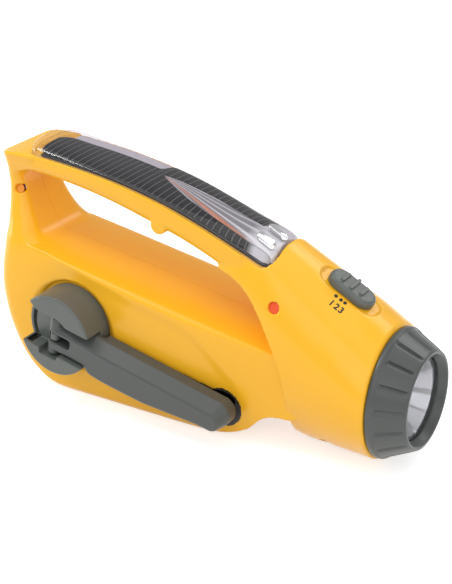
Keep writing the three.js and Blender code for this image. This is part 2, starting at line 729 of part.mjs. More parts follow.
// Places along the cover where its section is given, closer together round its ends
function coverPlaces(depth) {
  const bend = coverBendShares.map((share) => share * (coverCornerRadius - depth));
  const rear = bend.map((reach) => atShare(coverRearShare) + depth + reach);
  const front = bend.map((reach) => atShare(coverFrontShare) - depth - reach).reverse();
  return [...rear, ...coverStationShares.map(atShare), ...front];
}

// Room for the cover in the handle and the head
function coverBed(margin, depth) {
  const half = coverHalfWidth + margin;
  const from = atShare(coverRearShare) - margin;
  const to = atShare(coverFrontShare) + margin;
  const plan = roundedBox((from + to) / 2, 0, (to - from) / 2, half, coverCornerRadius + margin);
  const ring = (x) => [
    [x, -2 * half, rimAt(x) - depth], [x, 2 * half, rimAt(x) - depth],
    [x, 2 * half, 2 * bodyHeight], [x, -2 * half, 2 * bodyHeight],
  ];
  const stations = [from - overrun, ...coverPlaces(0).slice(1, -1), to + overrun];
  const above = loft(stations.map(ring));
  return slab(plan, 0, 2 * bodyHeight).intersect(above);
}

// Everything on one side of the parting plane, between two distances across
const halfSpace = (from, to) => box(rearX - overrun, ringX + overrun, from, to, -bodyHeight, 2 * bodyHeight);
const nearHalf = () => halfSpace(-bodyHeight, -partingGap / 2);
const farHalf = () => halfSpace(partingGap / 2, bodyHeight);

// Inside of the housing, with a roof kept under the solar cover's bed
function cavity() {
  const roof = coverBed(coverSideGap + housingWall, bedDepth + housingWall);
  return cut(join(trunk(housingWall), headShell(housingWall)), roof);
}

// A cylinder across the housing at a place on its side, from one distance out to another
const across = (x, z, radius, from, to, sides = smallSides) =>
  placed(moved(disc(radius, from, to, sides), x, z, 0), side);

const screws = [
  { name: "rear_screw", shares: rearScrewShares, length: rearScrewLength },
  { name: "head_screw", shares: headScrewShares, length: headScrewLength },
  { name: "barrel_screw", shares: barrelScrewShares, length: barrelScrewLength },
  { name: "handle_screw", shares: handleScrewShares, length: handleScrewLength },
].map(({ name, shares: [along, up, out], length }) => ({
  name,
  x: atShare(along),
  z: up * bodyHeight,
  seat: out * bodyHalfWidth - screwRecessDepth,
  length,
}));

const bossAt = ({ x, z, seat }) => across(x, z, screwBossRadius, -seat, seat, midSides);
const screwBosses = () => join(...screws.slice(1, 3).map(bossAt));

function screwHoles() {
  const holes = screws.flatMap(({ x, z, seat, length }) => [
    across(x, z, screwHeadRadius + screwGap, seat - screwHeadHeight - screwGap, 2 * bodyHalfWidth, midSides),
    across(x, z, screwRadius + screwGap, seat - length - screwGap, seat, smallSides),
  ]);
  return join(...holes);
}

// Places of the two gear axles, worked out from the teeth
const axleDistance = (driveModule * (driveTeeth + pinionTeeth)) / 2;
const rotorDistance = (wheelModule * (wheelTeeth + rotorTeeth)) / 2;
const axleX = hubX + axleDistance * Math.cos(radians(meshAngle));
const axleZ = hubZ + axleDistance * Math.sin(radians(meshAngle));
const rotorX = axleX + rotorDistance * Math.cos(radians(rotorMeshAngle));
const rotorZ = axleZ + rotorDistance * Math.sin(radians(rotorMeshAngle));
const wheelTip = (wheelModule * wheelTeeth) / 2 + wheelModule * addendumShare;
const platePosts = platePostShares.map(([turnShare, reach]) => {
  const distance = reach * (wheelTip + platePostRadius + platePostClearance);
  return [axleX + distance * Math.cos(turn * turnShare), axleZ + distance * Math.sin(turn * turnShare)];
});
const pinionInner = wheelInner + wheelThickness;
const pinionOuter = driveGearInner + driveGearThickness + pinionOverhang;

// Posts, bosses and walls inside the crank's side of the housing
function nearFittings() {
  const posts = platePosts.map(([x, z]) => cut(
    across(x, z, platePostRadius, gearPlateOuter + runningGap, wallInside + weld, smallSides),
    across(x, z, plateScrewRadius + runningGap, gearPlateOuter, gearPlateOuter + plateScrewLength, smallSides),
  ));
  const bossEnd = wallInside + housingWall / 2;
  const bearing = across(hubX, hubZ, bearingBossRadius, bossInner, bossEnd, roundSides);
  const axleBoss = across(axleX, axleZ, axleBossRadius, pinionOuter + runningGap, bossEnd, midSides);
  return join(bearing, axleBoss, ...posts, wellSpace(wellWall), scoop(wellWall));
}

// Quarter round pocket that the knob swings into, and the finger scoop at the arm's tip
function wellSpace(wall) {
  const reach = knobNeck + knobLength + wellClearance + wall;
  const half = knobRadius + wellClearance + wall;
  const tail = knobRadius + wellClearance + wall;
  const out = armThickness / 2;
  const outline = [[tail, out], [tail, -reach], ...arc(0, 0, reach, -90, -180, 2 * cornerSteps), [-reach, out]];
  const pocket = solid(geometryOf(slab(outline, -half, half)).rotateX(Math.PI / 2));
  return placed(moved(pocket, knobPivotU, knobPivotV, knobPivotW), arm);
}

function scoop(wall) {
  const floor = bodyHalfWidth - scoopDepth - wall;
  const out = scoopRadius + wall;
  const above = bodyHalfWidth + overrun;
  const profile = [[0, floor], [scoopFloorRadius + wall, floor], [out, bodyHalfWidth - housingWall / 2],
    [out, above], [0, above]];
  return placed(moved(turned(profile), knobPivotU + scoopAheadOfPivot, knobPivotV, 0), arm);
}

function cellCradle() {
  const inner = cellRadius + cellGap;
  const depth = cellCount * (cellLength + cellGap);
  const end = batteryOuter - depth;
  const cup = across(batteryX, batteryZ, inner + cradleWall, -wallInside - weld, end + cradleDepth, midSides);
  return cut(cup, across(batteryX, batteryZ, inner, end, bodyHalfWidth, midSides));
}

function boardPosts() {
  const posts = boardPostShares.map((share) => across(
    boardX + share * boardLength, boardZ, boardPostRadius, -wallInside - weld, boardOuter - boardThickness - cellGap,
  ));
  return join(...posts);
}

// Cuts that open the crank's side: hub recess with its sloping collar, bearing, axle, well and scoop
function nearCuts() {
  const recess = hubRadius + hubRecessGap;
  const base = hubBase - runningGap;
  const rim = bodyHalfWidth + hubCollarRise;
  const collar = turned([[0, base], [recess, base], [recess, rim - hubCollarDrop], [hubCollarRadius, rim],
    [hubCollarRadius, hubFace], [0, hubFace]]);
  const boreRadius = hubBearingRadius + bushingWall + runningGap;
  const bore = across(hubX, hubZ, boreRadius, bossInner - overrun, hubBase, midSides);
  const axle = across(axleX, axleZ, axleRadius + runningGap, pinionOuter - overrun, wallInside, smallSides);
  return join(placed(moved(collar, hubX, hubZ, 0), side), bore, axle, wellSpace(0), scoop(0));
}

// Flat oval seat and slot under the switch
function switchCuts() {
  const ahead = switchTravel + slotMargin;
  const seat = roundedBox(0, 0, switchLength / 2 + ahead, switchHalfWidth + slotMargin, switchHalfWidth);
  const slot = roundedBox(0, 0, stemLength / 2 + ahead, stemWidth / 2 + slotMargin, slotMargin, 1);
  return placed(join(slab(seat, -switchSeat, 2 * switchHeight), slab(slot, -switchBodyHeight, 0)), slope);
}

function housing() {
  const { x, z } = screws[screws.length - 1];
  const nub = across(x, z, screwBossRadius, -handleHalfWidth, handleHalfWidth, midSides);
  const outer = cut(join(trunk(0), column(), handle(), nub, headShell(0)), coverBed(coverSideGap, bedDepth));
  const hollow = cut(outer, cavity());
  const fittings = join(screwBosses(), nearFittings(), cellCradle(), boardPosts());
  const core = join(trunk(housingWall / 2), headShell(housingWall / 2));
  const body = cut(join(hollow, fittings.intersect(core)), screwHoles(), switchCuts());
  piece(flashlight, "right_housing", cut(body.intersect(nearHalf()), nearCuts()), paint.shell);
  piece(flashlight, "left_housing", body.intersect(farHalf()), paint.shell);
}

// Plan of the ribbed strip that lies in the panel
function stripPlan(margin) {
  const half = coverHalfWidth - panelDepth;
  return grown(stripShares.map(([x, y]) => [atShare(x), y * half]), margin);
}

// Clear cover over the panel, the panel and its tray, and the strip
function solarTop() {
  const foot = runningGap - bedDepth;
  const inside = foot - overrun;
  const lozenges = lozengeShares.map(([x, y]) => {
    const place = [atShare(x), y * coverHalfWidth];
    const oval = roundedBox(...place, lozengeLength / 2, lozengeWidth / 2, lozengeWidth / 2, 3);
    return slab(oval, 0, 2 * bodyHeight).intersect(arch(-lozengeRise, foot));
  });
  const shell = cut(join(arch(0, foot), ...lozenges), arch(coverThickness, inside));
  piece(flashlight, "solar_cover", shell, paint.clear);
  const panelBottom = panelDepth + panelThickness;
  const sheet = cut(arch(panelDepth, panelFootRise, smallSides), arch(panelBottom, inside, smallSides));
  const keep = slab(stripPlan(trayGap), 0, 2 * bodyHeight);
  piece(flashlight, "solar_panel", cut(sheet, keep), paint.cell);
  piece(flashlight, "solar_tray", bedPlate(coverThickness + trayGap, foot, foot + trayWall), paint.dark);
  const top = coverThickness + trayGap;
  const band = cut(arch(top, panelFootRise), arch(panelBottom, inside));
  piece(flashlight, "solar_strip", band.intersect(slab(stripPlan(0), 0, 2 * bodyHeight)), paint.mirror);
}

// Flat plate that follows the rim, from one height over it to another, inside the cover
function bedPlate(inset, from, to) {
  const ring = (x) => {
    const outer = archRing(x, inset, from, 2);
    const half = outer[0][1];
    const rim = rimAt(x);
    return [[x, -half, rim + from], [x, half, rim + from], [x, half, rim + to], [x, -half, rim + to]];
  };
  return loft(coverPlaces(inset).map(ring));
}

function crankHub() {
  const drum = turned([[0, hubBase], [hubRadius, hubBase], [hubRadius, hubFace - hubEdge],
    [hubRadius - hubEdge, hubFace], [0, hubFace]]);
  const outline = channelShares.map(([u, v]) => [u * hubRadius, v * hubRadius]);
  const channel = slab(outline, channelFloor, 2 * hubFace);
  const foot = channelFloor - overrun;
  const lug = knuckle(armHingeU, armSlotV, armHingeW, lugRadius, lugHalfWidth, lugHalfLength, foot);
  const half = armHingeHalf + armPinReach;
  const pinBore = moved(barrel(armPinRadius + runningGap, -half, half), armHingeU, armHingeV, armHingeW);
  const spindle = disc(hubBearingRadius, bossInner - bushingFlangeThickness, hubBase + weld, midSides);
  const square = driveSquare / 2;
  const stub = box(-square, square, -square, square, driveGearInner, hubBase);
  const tapEnd = driveGearInner + hubScrewLength + screwGap;
  const tapped = disc(hubScrewRadius + screwGap, driveGearInner - overrun, tapEnd, smallSides);
  const body = cut(join(cut(drum, channel), lug, spindle, stub), pinBore, tapped);
  piece(arm, "crank_hub", body, paint.grip);
  const reach = half - runningGap;
  piece(arm, "arm_pin", barrel(armPinRadius, -reach, reach), paint.steel, armHingeU, armHingeV, armHingeW);
}

// Upright lug with a round top about an axis along y
function knuckle(x, y, z, radius, halfWidth, halfLength, foot) {
  const outline = [[halfLength, foot - z], ...arc(0, 0, radius, 0, 180, archSides / 2), [-halfLength, foot - z]];
  return moved(solid(geometryOf(slab(outline, -halfWidth, halfWidth)).rotateX(Math.PI / 2)), x, y, z);
}

// Plan of the arm: its two edges between two distances from the hub, and a round tip
function armPlan(inset, from, to = armLength) {
  const edge = (side, shift) => {
    const rows = armEdgeShares.map((row) => [row[0] * armLength, row[side] * armHalfWidth + shift]);
    const kept = rows.filter(([u]) => u > from && u < to);
    return [[from, through(rows, from)], ...kept];
  };
  const middle = armLength - armTipRadius;
  const tip = arc(middle, armTipOffset, armTipRadius - inset, -armTipReach, armTipReach, 2 * cornerSteps);
  return [...edge(1, inset), ...tip, ...edge(2, -inset).reverse()];
}

function crankArm() {
  const ring = (inset, w) => armPlan(inset, armHingeU).map(([u, v]) => [u, v, w]);
  const block = loft([ring(0, armInner), ring(0, armOuter - armBevel), ring(armBevel, armOuter)]);
  const hollow = slab(armPlan(armShell, armRootLength + armShell), armInner - overrun, armOuter - armShell);
  const wide = 2 * armHalfWidth;
  const rootUnder = armOuter - armRootThickness;
  const rootCut = box(-hubRadius, armRootLength, -wide, wide, armInner - overrun, rootUnder);
  const eyeHalf = armHingeHalf;
  const eye = moved(barrel(armEyeRadius, -eyeHalf, eyeHalf, midSides), armHingeU, armHingeV, armHingeW);
  const slotFrom = armHingeU - 2 * armEyeRadius;
  const slotSides = [armSlotV - armSlotHalf, armSlotV + armSlotHalf];
  const slot = box(slotFrom, armSlotEnd, ...slotSides, channelFloor, 2 * hubFace);
  const pinBore = moved(barrel(armPinRadius + runningGap, -wide, wide), armHingeU, armHingeV, armHingeW);
  const reach = armTipRadius + overrun;
  const knobHole = barrel(foldPinRadius + runningGap, -reach, reach);
  const knobBore = moved(knobHole, knobPivotU, armTipOffset, knobPivotW);
  const body = cut(join(cut(block, hollow, rootCut), eye), slot, pinBore, knobBore);
  piece(arm, "crank_arm", body, paint.grip);
}

function knob() {
  const stemEnd = knobNeck + knobLength;
  const eye = barrel(knobEyeRadius, -knobEyeHalfWidth, knobEyeHalfWidth, midSides);
  const lengthwise = (body) => solid(geometryOf(body).rotateY(-Math.PI / 2));
  const shaft = lengthwise(disc(knobPostRadius, 0, stemEnd - knobCapThickness / 2, smallSides));
  const cap = lengthwise(disc(knobCapRadius, stemEnd - knobCapThickness, stemEnd, smallSides));
  const bore = barrel(foldPinRadius + runningGap, -knobRadius, knobRadius);
  piece(arm, "knob_post", cut(join(eye, shaft, cap), bore), paint.steel, knobPivotU, knobPivotV, knobPivotW);
  const inner = knobPostRadius + knobBoreGap;
  const seat = stemEnd - knobCapThickness - knobBoreGap;
  const capBore = knobCapRadius + knobBoreGap;
  const sleeve = lengthwise(turned([
    [inner, knobNeck], [knobRadius - knobEdge, knobNeck], [knobRadius, knobNeck + knobEdge],
    [knobRadius, stemEnd - knobEdge], [knobRadius - knobEdge / 2, stemEnd], [capBore, stemEnd],
    [capBore, seat], [inner, seat], [inner, knobNeck],
  ], midSides));
  piece(arm, "crank_knob", sleeve, paint.grip, knobPivotU, knobPivotV, knobPivotW);
  const reach = armTipRadius - armShell / 2;
  piece(arm, "knob_pin", barrel(foldPinRadius, -reach, reach), paint.steel, knobPivotU, armTipOffset, knobPivotW);
}

// Spur gear outline with involute flanks, thinned for backlash
function gearOutline(module, teeth) {
  const pitch = (module * teeth) / 2;
  const base = pitch * Math.cos(radians(pressureAngle));
  const root = pitch - module * dedendumShare;
  const tip = pitch + module * addendumShare;
  const involute = (radius) => {
    const roll = Math.sqrt(Math.max((radius / base) ** 2 - 1, 0));
    return roll - Math.atan(roll);
  };
  const half = (turn / teeth / 4) * (1 - backlashShare);
  const flank = [root, pitch, tip].map((radius) => {
    const lean = half + involute(pitch) - involute(Math.max(radius, base));
    return [radius, Math.max(lean, 0)];
  });
  const points = [];
  for (let k = 0; k < teeth; k += 1) {
    const middle = (turn * k) / teeth;
    flank.forEach(([radius, lean]) => points.push([radius, middle - lean]));
    flank.slice().reverse().forEach(([radius, lean]) => points.push([radius, middle + lean]));
  }
  return points.map(([radius, angle]) => [radius * Math.cos(angle), radius * Math.sin(angle)]);
}

function gear(module, teeth, from, to, phase) {
  return solid(geometryOf(slab(gearOutline(module, teeth), from, to)).rotateZ(phase));
}

// Round windows between a gear's hub and its rim
function gearWindows(radius, from, to) {
  const [inner, outer] = gearWindowShares.map((share) => share * radius);
  const windows = [];
  for (let k = 0; k < gearWindowCount; k += 1) {
    const angle = (turn * k) / gearWindowCount;
    const middle = (inner + outer) / 2;
    const hole = disc((outer - inner) / 2, from - overrun, to + overrun, smallSides);
    windows.push(moved(hole, middle * Math.cos(angle), middle * Math.sin(angle), 0));
  }
  return join(...windows);
}

function gears() {
  const driveOuter = driveGearInner + driveGearThickness;
  const half = driveSquare / 2 + runningGap;
  const square = box(-half, half, -half, half, driveGearInner - overrun, driveOuter + overrun);
  const disk = gear(driveModule, driveTeeth, driveGearInner, driveOuter, 0);
  const drive = cut(disk, gearWindows(drivePitchRadius, driveGearInner, driveOuter));
  piece(crank, "drive_gear", cut(drive, solid(geometryOf(square).rotateZ(radians(armAngle)))), paint.gear);
  const screwTop = driveGearInner - runningGap;
  const hubScrew = join(
    disc(hubScrewHeadRadius, screwTop - hubScrewHeadHeight, screwTop, midSides),
    disc(hubScrewRadius, screwTop - hubScrewHeadHeight, driveGearInner + hubScrewLength, smallSides),
  );
  piece(crank, "hub_screw", hubScrew, paint.steel);
  const flangeOuter = hubBearingRadius + bushingWall + bushingFlange;
  const bushingBore = hubBearingRadius + runningGap;
  const seat = bossInner - runningGap;
  const bushing = join(
    tube(bushingBore, hubBearingRadius + bushingWall, seat, hubBase - 2 * runningGap, midSides),
    tube(bushingBore, flangeOuter, seat - bushingFlangeThickness, seat, midSides),
  );
  piece(crank, "hub_bushing", bushing, paint.gear);

  const pinionPhase = meshPhase(driveTeeth, 0, pinionTeeth, radians(meshAngle));
  const bore = disc(axleRadius + runningGap, 0, bodyHalfWidth, smallSides);
  const wheel = gear(wheelModule, wheelTeeth, wheelInner, pinionInner, 0);
  const pinion = gear(driveModule, pinionTeeth, pinionInner - weld, pinionOuter, pinionPhase);
  piece(side, "compound_gear", cut(join(wheel, pinion), bore), paint.gear, axleX, axleZ);
  const axleEnd = pinionOuter + runningGap + axleSeat;
  const axle = disc(axleRadius, gearPlateOuter - gearPlateThickness, axleEnd, smallSides);
  piece(side, "compound_axle", axle, paint.steel, axleX, axleZ);
  const rotorPhase = meshPhase(wheelTeeth, 0, rotorTeeth, radians(rotorMeshAngle));
  const rotorOuter = pinionInner + rotorPinionOverhang;
  const rotorGear = gear(wheelModule, rotorTeeth, wheelInner - rotorPinionOverhang, rotorOuter, rotorPhase);
  const shaftBore = disc(rotorShaftRadius + runningGap, 0, bodyHalfWidth, smallSides);
  piece(side, "rotor_pinion", cut(rotorGear, shaftBore), paint.gear, rotorX, rotorZ);
}

// Turn of a gear that puts a gap of its teeth opposite a tooth of the gear that drives it
function meshPhase(driverTeeth, driverPhase, teeth, angle) {
  const driverPitch = turn / driverTeeth;
  const ahead = ((angle - driverPhase) % driverPitch) / driverPitch;
  const pitch = turn / teeth;
  return angle + Math.PI + ahead * pitch + pitch / 2;
}

// Plate with round corners about a few posts, given in turn round it
function plateAround(posts, margin) {
  const edges = posts.map(([x, y], k) => {
    const [nextX, nextY] = posts[(k + 1) % posts.length];
    return THREE.MathUtils.radToDeg(Math.atan2(nextY - y, nextX - x)) - 90;
  });
  return posts.flatMap(([x, y], k) => {
    const from = edges[(k + posts.length - 1) % posts.length];
    const to = edges[k] < from ? edges[k] + 360 : edges[k];
    return arc(x, y, margin, from, to);
  });
}

function gearPlate() {
  const inner = gearPlateOuter - gearPlateThickness;
  const around = plateAround(platePosts, platePostRadius + plateMargin);
  const hole = (x, z, radius) => {
    const tool = disc(radius + runningGap, inner - overrun, gearPlateOuter + overrun, smallSides);
    return moved(tool, x, z, 0);
  };
  const holes = platePosts.map(([x, z]) => hole(x, z, plateScrewRadius));
  const bearings = [hole(axleX, axleZ, axleRadius), hole(rotorX, rotorZ, rotorShaftRadius)];
  piece(side, "gear_plate", cut(slab(around, inner, gearPlateOuter), ...bearings, ...holes), paint.steel);
  const top = inner - runningGap;
  const screw = join(
    disc(plateScrewHeadRadius, top - plateScrewHeadHeight, top, smallSides),
    disc(plateScrewRadius, top - plateScrewHeadHeight, top + plateScrewLength, smallSides),
  );
  platePosts.forEach(([x, z], k) => piece(side, `plate_screw_${k + 1}`, screw, paint.steel, x, z));
}

function generator() {
  const top = gearPlateOuter - gearPlateThickness - runningGap;
  const end = top - canLength;
  const middle = (top + end + canWall) / 2;
  const bore = rotorShaftRadius + runningGap;
  const inside = canRadius - canWall;
  const can = turned([[bore, end], [canRadius, end], [canRadius, top], [inside, top], [inside, end + canWall],
    [bore, end + canWall], [bore, end]]);
  piece(side, "generator_can", can, paint.steel, rotorX, rotorZ);
  const ring = (inner, outer, length) => tube(inner, outer, middle - length / 2, middle + length / 2, midSides);
  piece(side, "generator_coil", ring(coilInnerRadius, inside - runningGap, coilLength), paint.copper, rotorX, rotorZ);
  piece(side, "rotor_magnet", ring(bore, magnetRadius, magnetLength), paint.dark, rotorX, rotorZ);
  const shaft = disc(rotorShaftRadius, end - canEndGap, pinionInner + 2 * rotorPinionOverhang, smallSides);
  piece(side, "rotor_shaft", shaft, paint.steel, rotorX, rotorZ);
}

// Ribbed bezel: a cone with tapering grooves, a lip that holds the lens and a sleeve inside the head
function bezel() {
  const sleeve = headRingRadius - housingWall - sleeveGap;
  const lip = bezelLength - bezelLipDepth;
  const seat = lip - bezelLipThickness;
  const bore = lensRadius + lensGap;
  const seatEnd = seat - lensThickness - reflectorFlange - 3 * lensGap;
  const coneStart = bezelShoulder + bezelShoulderDrop / 2;
  const coneEnd = bezelLength - bezelFrontEdge;
  const coneRadius = bezelRearRadius - bezelShoulderDrop;
  const profile = [
    [sleeve - bezelSleeveWall, -bezelSleeveLength], [sleeve, -bezelSleeveLength], [sleeve, lensGap],
    [bezelRearRadius, lensGap], [bezelRearRadius, bezelShoulder], [coneRadius, coneStart],
    [bezelFrontRadius, coneEnd], [bezelFrontRadius - bezelFrontEdge, bezelLength],
    [bezelOpeningRadius, bezelLength], [bezelLipRadius, lip], [bezelLipRadius, seat], [bore, seat], [bore, seatEnd],
    [sleeve - bezelSleeveWall, seatEnd - bezelSeatFlare], [sleeve - bezelSleeveWall, -bezelSleeveLength],
  ];
  const slant = (coneRadius - bezelFrontRadius) / (coneEnd - coneStart);
  const coneAt = (z) => bezelFrontRadius + slant * (coneEnd - z);
  const wedge = (z, share) => {
    const radius = coneAt(z);
    const half = (gripWidth / 2) * share;
    return [[radius - gripDepth * share, 0, z], [radius + overrun, half * 2, z], [radius + overrun, -half * 2, z]];
  };
  const groove = loft([wedge(gripStart, 1), wedge(gripEnd, gripTipShare)]);
  const grooves = [];
  for (let k = 0; k < gripCount; k += 1) {
    grooves.push(solid(geometryOf(groove).rotateZ((turn * (k + 1 / 2)) / gripCount)));
  }
  piece(head, "bezel_ring", cut(turned(profile, gripCount * 2), ...grooves), paint.grip);
}

function lensAndReflector() {
  const seat = bezelLength - bezelLipDepth - bezelLipThickness;
  const front = seat - lensGap;
  const back = front - lensThickness;
  const dome = domeShares.map(([radius, rise]) => [radius * bezelLipRadius, front + rise * lensDome]);
  piece(head, "front_lens", turned([[0, back], [lensRadius, back], [lensRadius, front], ...dome]), paint.clear);
  const rim = back - lensGap;
  const bottom = rim - reflectorDepth;
  const rimRadius = lensRadius - 2 * reflectorWall;
  const bowl = bowlShares.map(([radius, rise]) => [
    reflectorNeckRadius + radius * (rimRadius - reflectorNeckRadius), bottom + rise * reflectorDepth,
  ]);
  const shell = bowl.slice(0, -1).map(([radius, z]) => [radius + reflectorWall, z]).reverse();
  const flangeFoot = rim - reflectorFlange;
  const flange = [[lensRadius, rim], [lensRadius, flangeFoot], [rimRadius + reflectorWall / 2, flangeFoot]];
  piece(head, "reflector", turned([...bowl, ...flange, ...shell, bowl[0]]), paint.mirror);
  const boardTop = bottom - lensGap;
  piece(head, "lamp_board", disc(lampBoardRadius, boardTop - boardThickness, boardTop, midSides), paint.board);
  const foot = boardTop + lensGap;
  const domeFoot = foot + lampLength - lampRadius;
  const crown = domeShares.map(([radius, rise]) => [radius * lampRadius, domeFoot + rise * lampRadius]);
  const bulb = turned([[0, foot], [lampRim, foot], [lampRim, foot + lampRimHeight], [lampRadius, foot + lampRimHeight],
    [lampRadius, domeFoot], ...crown], smallSides);
  for (let k = 0; k < lampCount; k += 1) {
    const angle = (turn * k) / lampCount;
    piece(head, `lamp_${k + 1}`, bulb, paint.clear, -lampCircle * Math.cos(angle), lampCircle * Math.sin(angle));
  }
}

// Oval slide button with three cross ribs and a stem that reaches the switch under the shell
function slideSwitch() {
  const foot = switchLift - switchSeat;
  const top = foot + switchHeight;
  const oval = (inset, z) => {
    const half = switchHalfWidth - inset;
    return roundedBox(0, 0, switchLength / 2 - inset, half, half).map(([x, y]) => [x, y, z]);
  };
  const edge = switchEdge * (1 - Math.SQRT1_2);
  const body = loft([oval(0, foot), oval(0, top - switchEdge), oval(edge, top - edge), oval(switchEdge, top)]);
  const ribs = switchRibShares.map(([place, reach]) => {
    const rib = (inset, z) => {
      const half = switchRibWidth / 2 - inset;
      const plan = roundedBox(place * switchRibPitch, 0, half, reach * switchHalfWidth - inset, half - weld, 2);
      return plan.map(([x, y]) => [x, y, z]);
    };
    const ribTop = top + switchRibHeight;
    return loft([rib(0, top - switchEdge), rib(0, ribTop - switchRibHeight / 2), rib(switchRibWidth / 4, ribTop)]);
  });
  const bodyTop = -housingWall - slotMargin;
  const stemFoot = bodyTop - switchTrackDepth + runningGap;
  const stem = box(-stemLength / 2, stemLength / 2, -stemWidth / 2, stemWidth / 2, stemFoot, foot + weld);
  piece(slope, "switch_button", join(body, stem, ...ribs), paint.grip);
  const [long, broad] = [switchBodyLength / 2, switchBodyWidth / 2];
  const block = box(-long, long, -broad, broad, bodyTop - switchBodyHeight, bodyTop);
  const reach = stemLength / 2 + switchTravel + slotMargin;
  const wide = stemWidth / 2 + runningGap;
  const track = box(-reach, reach, -wide, wide, bodyTop - switchTrackDepth, bodyTop + overrun);
  piece(slope, "switch_body", cut(block, track), paint.dark);
}

function battery() {
  const cell = turned([[0, 0], [cellRadius, 0], [cellRadius, cellLength - cellRimHeight],
    [cellRimRadius, cellLength - cellRimHeight], [cellRimRadius, cellLength], [0, cellLength]], midSides);
  for (let k = 0; k < cellCount; k += 1) {
    const inner = batteryOuter - (k + 1) * cellLength - k * cellGap;
    piece(side, `battery_cell_${k + 1}`, cell, paint.steel, batteryX, batteryZ, inner);
  }
}

function circuitBoard() {
  const [x, z] = [boardLength / 2, boardHeight / 2];
  piece(side, "circuit_board", box(-x, x, -z, z, boardOuter - boardThickness, boardOuter), paint.board, boardX, boardZ);
  const foot = boardOuter + cellGap;
  const can = disc(capacitorRadius, foot, foot + capacitorLength, smallSides);
  piece(side, "capacitor", can, paint.dark, boardX + capacitorShare * boardLength, boardZ);
}

function housingScrews() {
  screws.forEach(({ name, x, z, seat, length }) => {
    const screw = join(
      disc(screwHeadRadius, seat - screwHeadHeight, seat, smallSides),
      disc(screwRadius, seat - length, seat - screwHeadHeight / 2, smallSides),
    );
    const [long, broad] = [screwSlotLength / 2, screwSlotWidth / 2];
    const slots = slotTurns.map((angle) => {
      const slot = box(-long, long, -broad, broad, seat - screwSlotDepth, seat + overrun);
      return solid(geometryOf(slot).rotateZ(radians(angle)));
    });
    piece(side, name, cut(screw, ...slots), paint.steel, x, z);
  });
}

housing();
solarTop();
crankHub();
crankArm();
knob();
gears();
gearPlate();
generator();
bezel();
lensAndReflector();
slideSwitch();
battery();
circuitBoard();
housingScrews();

export default flashlight;
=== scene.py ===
# %% [markdown]
# # Hand crank flashlight
# A yellow moulded flashlight with a loop handle, a folding crank on its side, a solar panel under a clear
# cover and a ribbed grey lens ring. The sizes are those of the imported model, in millimetres, and the
# surfaces are built again here with finer sections, round edges and their own finishes.

import json
import math

import bmesh
import bpy
import numpy as np
from mathutils import Matrix, Vector
from mathutils.bvhtree import BVHTree

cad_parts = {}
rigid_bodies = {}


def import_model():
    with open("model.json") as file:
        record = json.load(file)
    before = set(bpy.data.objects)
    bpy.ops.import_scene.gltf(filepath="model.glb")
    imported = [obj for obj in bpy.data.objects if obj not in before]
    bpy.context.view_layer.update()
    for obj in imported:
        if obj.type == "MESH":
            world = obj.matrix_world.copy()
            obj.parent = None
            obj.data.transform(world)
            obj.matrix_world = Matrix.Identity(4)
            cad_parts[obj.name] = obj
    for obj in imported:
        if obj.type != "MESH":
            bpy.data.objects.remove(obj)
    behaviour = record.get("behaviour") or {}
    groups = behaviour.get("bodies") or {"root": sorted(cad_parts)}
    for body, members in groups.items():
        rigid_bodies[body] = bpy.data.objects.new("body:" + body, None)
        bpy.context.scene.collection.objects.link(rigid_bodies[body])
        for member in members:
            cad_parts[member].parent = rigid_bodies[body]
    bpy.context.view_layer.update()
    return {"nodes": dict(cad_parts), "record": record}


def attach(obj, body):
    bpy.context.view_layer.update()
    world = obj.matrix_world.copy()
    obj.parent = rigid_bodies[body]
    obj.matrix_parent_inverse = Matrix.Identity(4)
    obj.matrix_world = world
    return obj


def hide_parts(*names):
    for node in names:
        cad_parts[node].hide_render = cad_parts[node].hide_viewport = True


for leftover in list(bpy.data.objects):
    bpy.data.objects.remove(leftover)
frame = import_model()
MM = 0.001
nodes = frame["nodes"]

# %% [markdown]
# ## Sizes and curves through rows
# Places along the body are written as shares of its length, and heights as shares of its height, so the
# proportions hold together. The outlines of a moulding are soft curves. They could be drawn by hand as
# splines. Here each is a short table of rows with a smooth curve through them, because a table is easy to
# read and to correct.

# %% Main sizes and the table reader
body_length = 193.5
body_height = 112.6
body_half_width = 26.4
wall = 2.4
rear_x = -0.34 * body_length
ring_x = rear_x + body_length


def at_share(share):
    return rear_x + share * body_length


def share_of(x):
    return (x - rear_x) / body_length


def through(table, at):
    """Value at a place of a table of (place, value) rows, on a smooth curve through its rows."""
    last = len(table) - 1
    if at <= table[0][0]:
        return table[0][1]
    if at >= table[last][0]:
        return table[last][1]
    i = next(k for k, row in enumerate(table) if row[0] > at) - 1

    def slope(k):
        a, b = table[max(k - 1, 0)], table[min(k + 1, last)]
        return (b[1] - a[1]) / (b[0] - a[0])

    span = table[i + 1][0] - table[i][0]
    t = (at - table[i][0]) / span
    start = table[i][1] * (1 + 2 * t) + slope(i) * span * t
    end = table[i + 1][1] * (3 - 2 * t) - slope(i + 1) * span * (1 - t)
    return start * (1 - t) ** 2 + end * t**2


print("body from", round(rear_x, 2), "to", round(ring_x, 2))

# %% [markdown]
# ## The camera
# The camera is set before anything else, because a few small marks are placed by where the photograph
# shows them. It stands at the front right and looks down by about 25 degrees, with a fairly long lens. It
# could be aimed by eye. Its place and axes are given as numbers instead, fitted to edges of the picture.

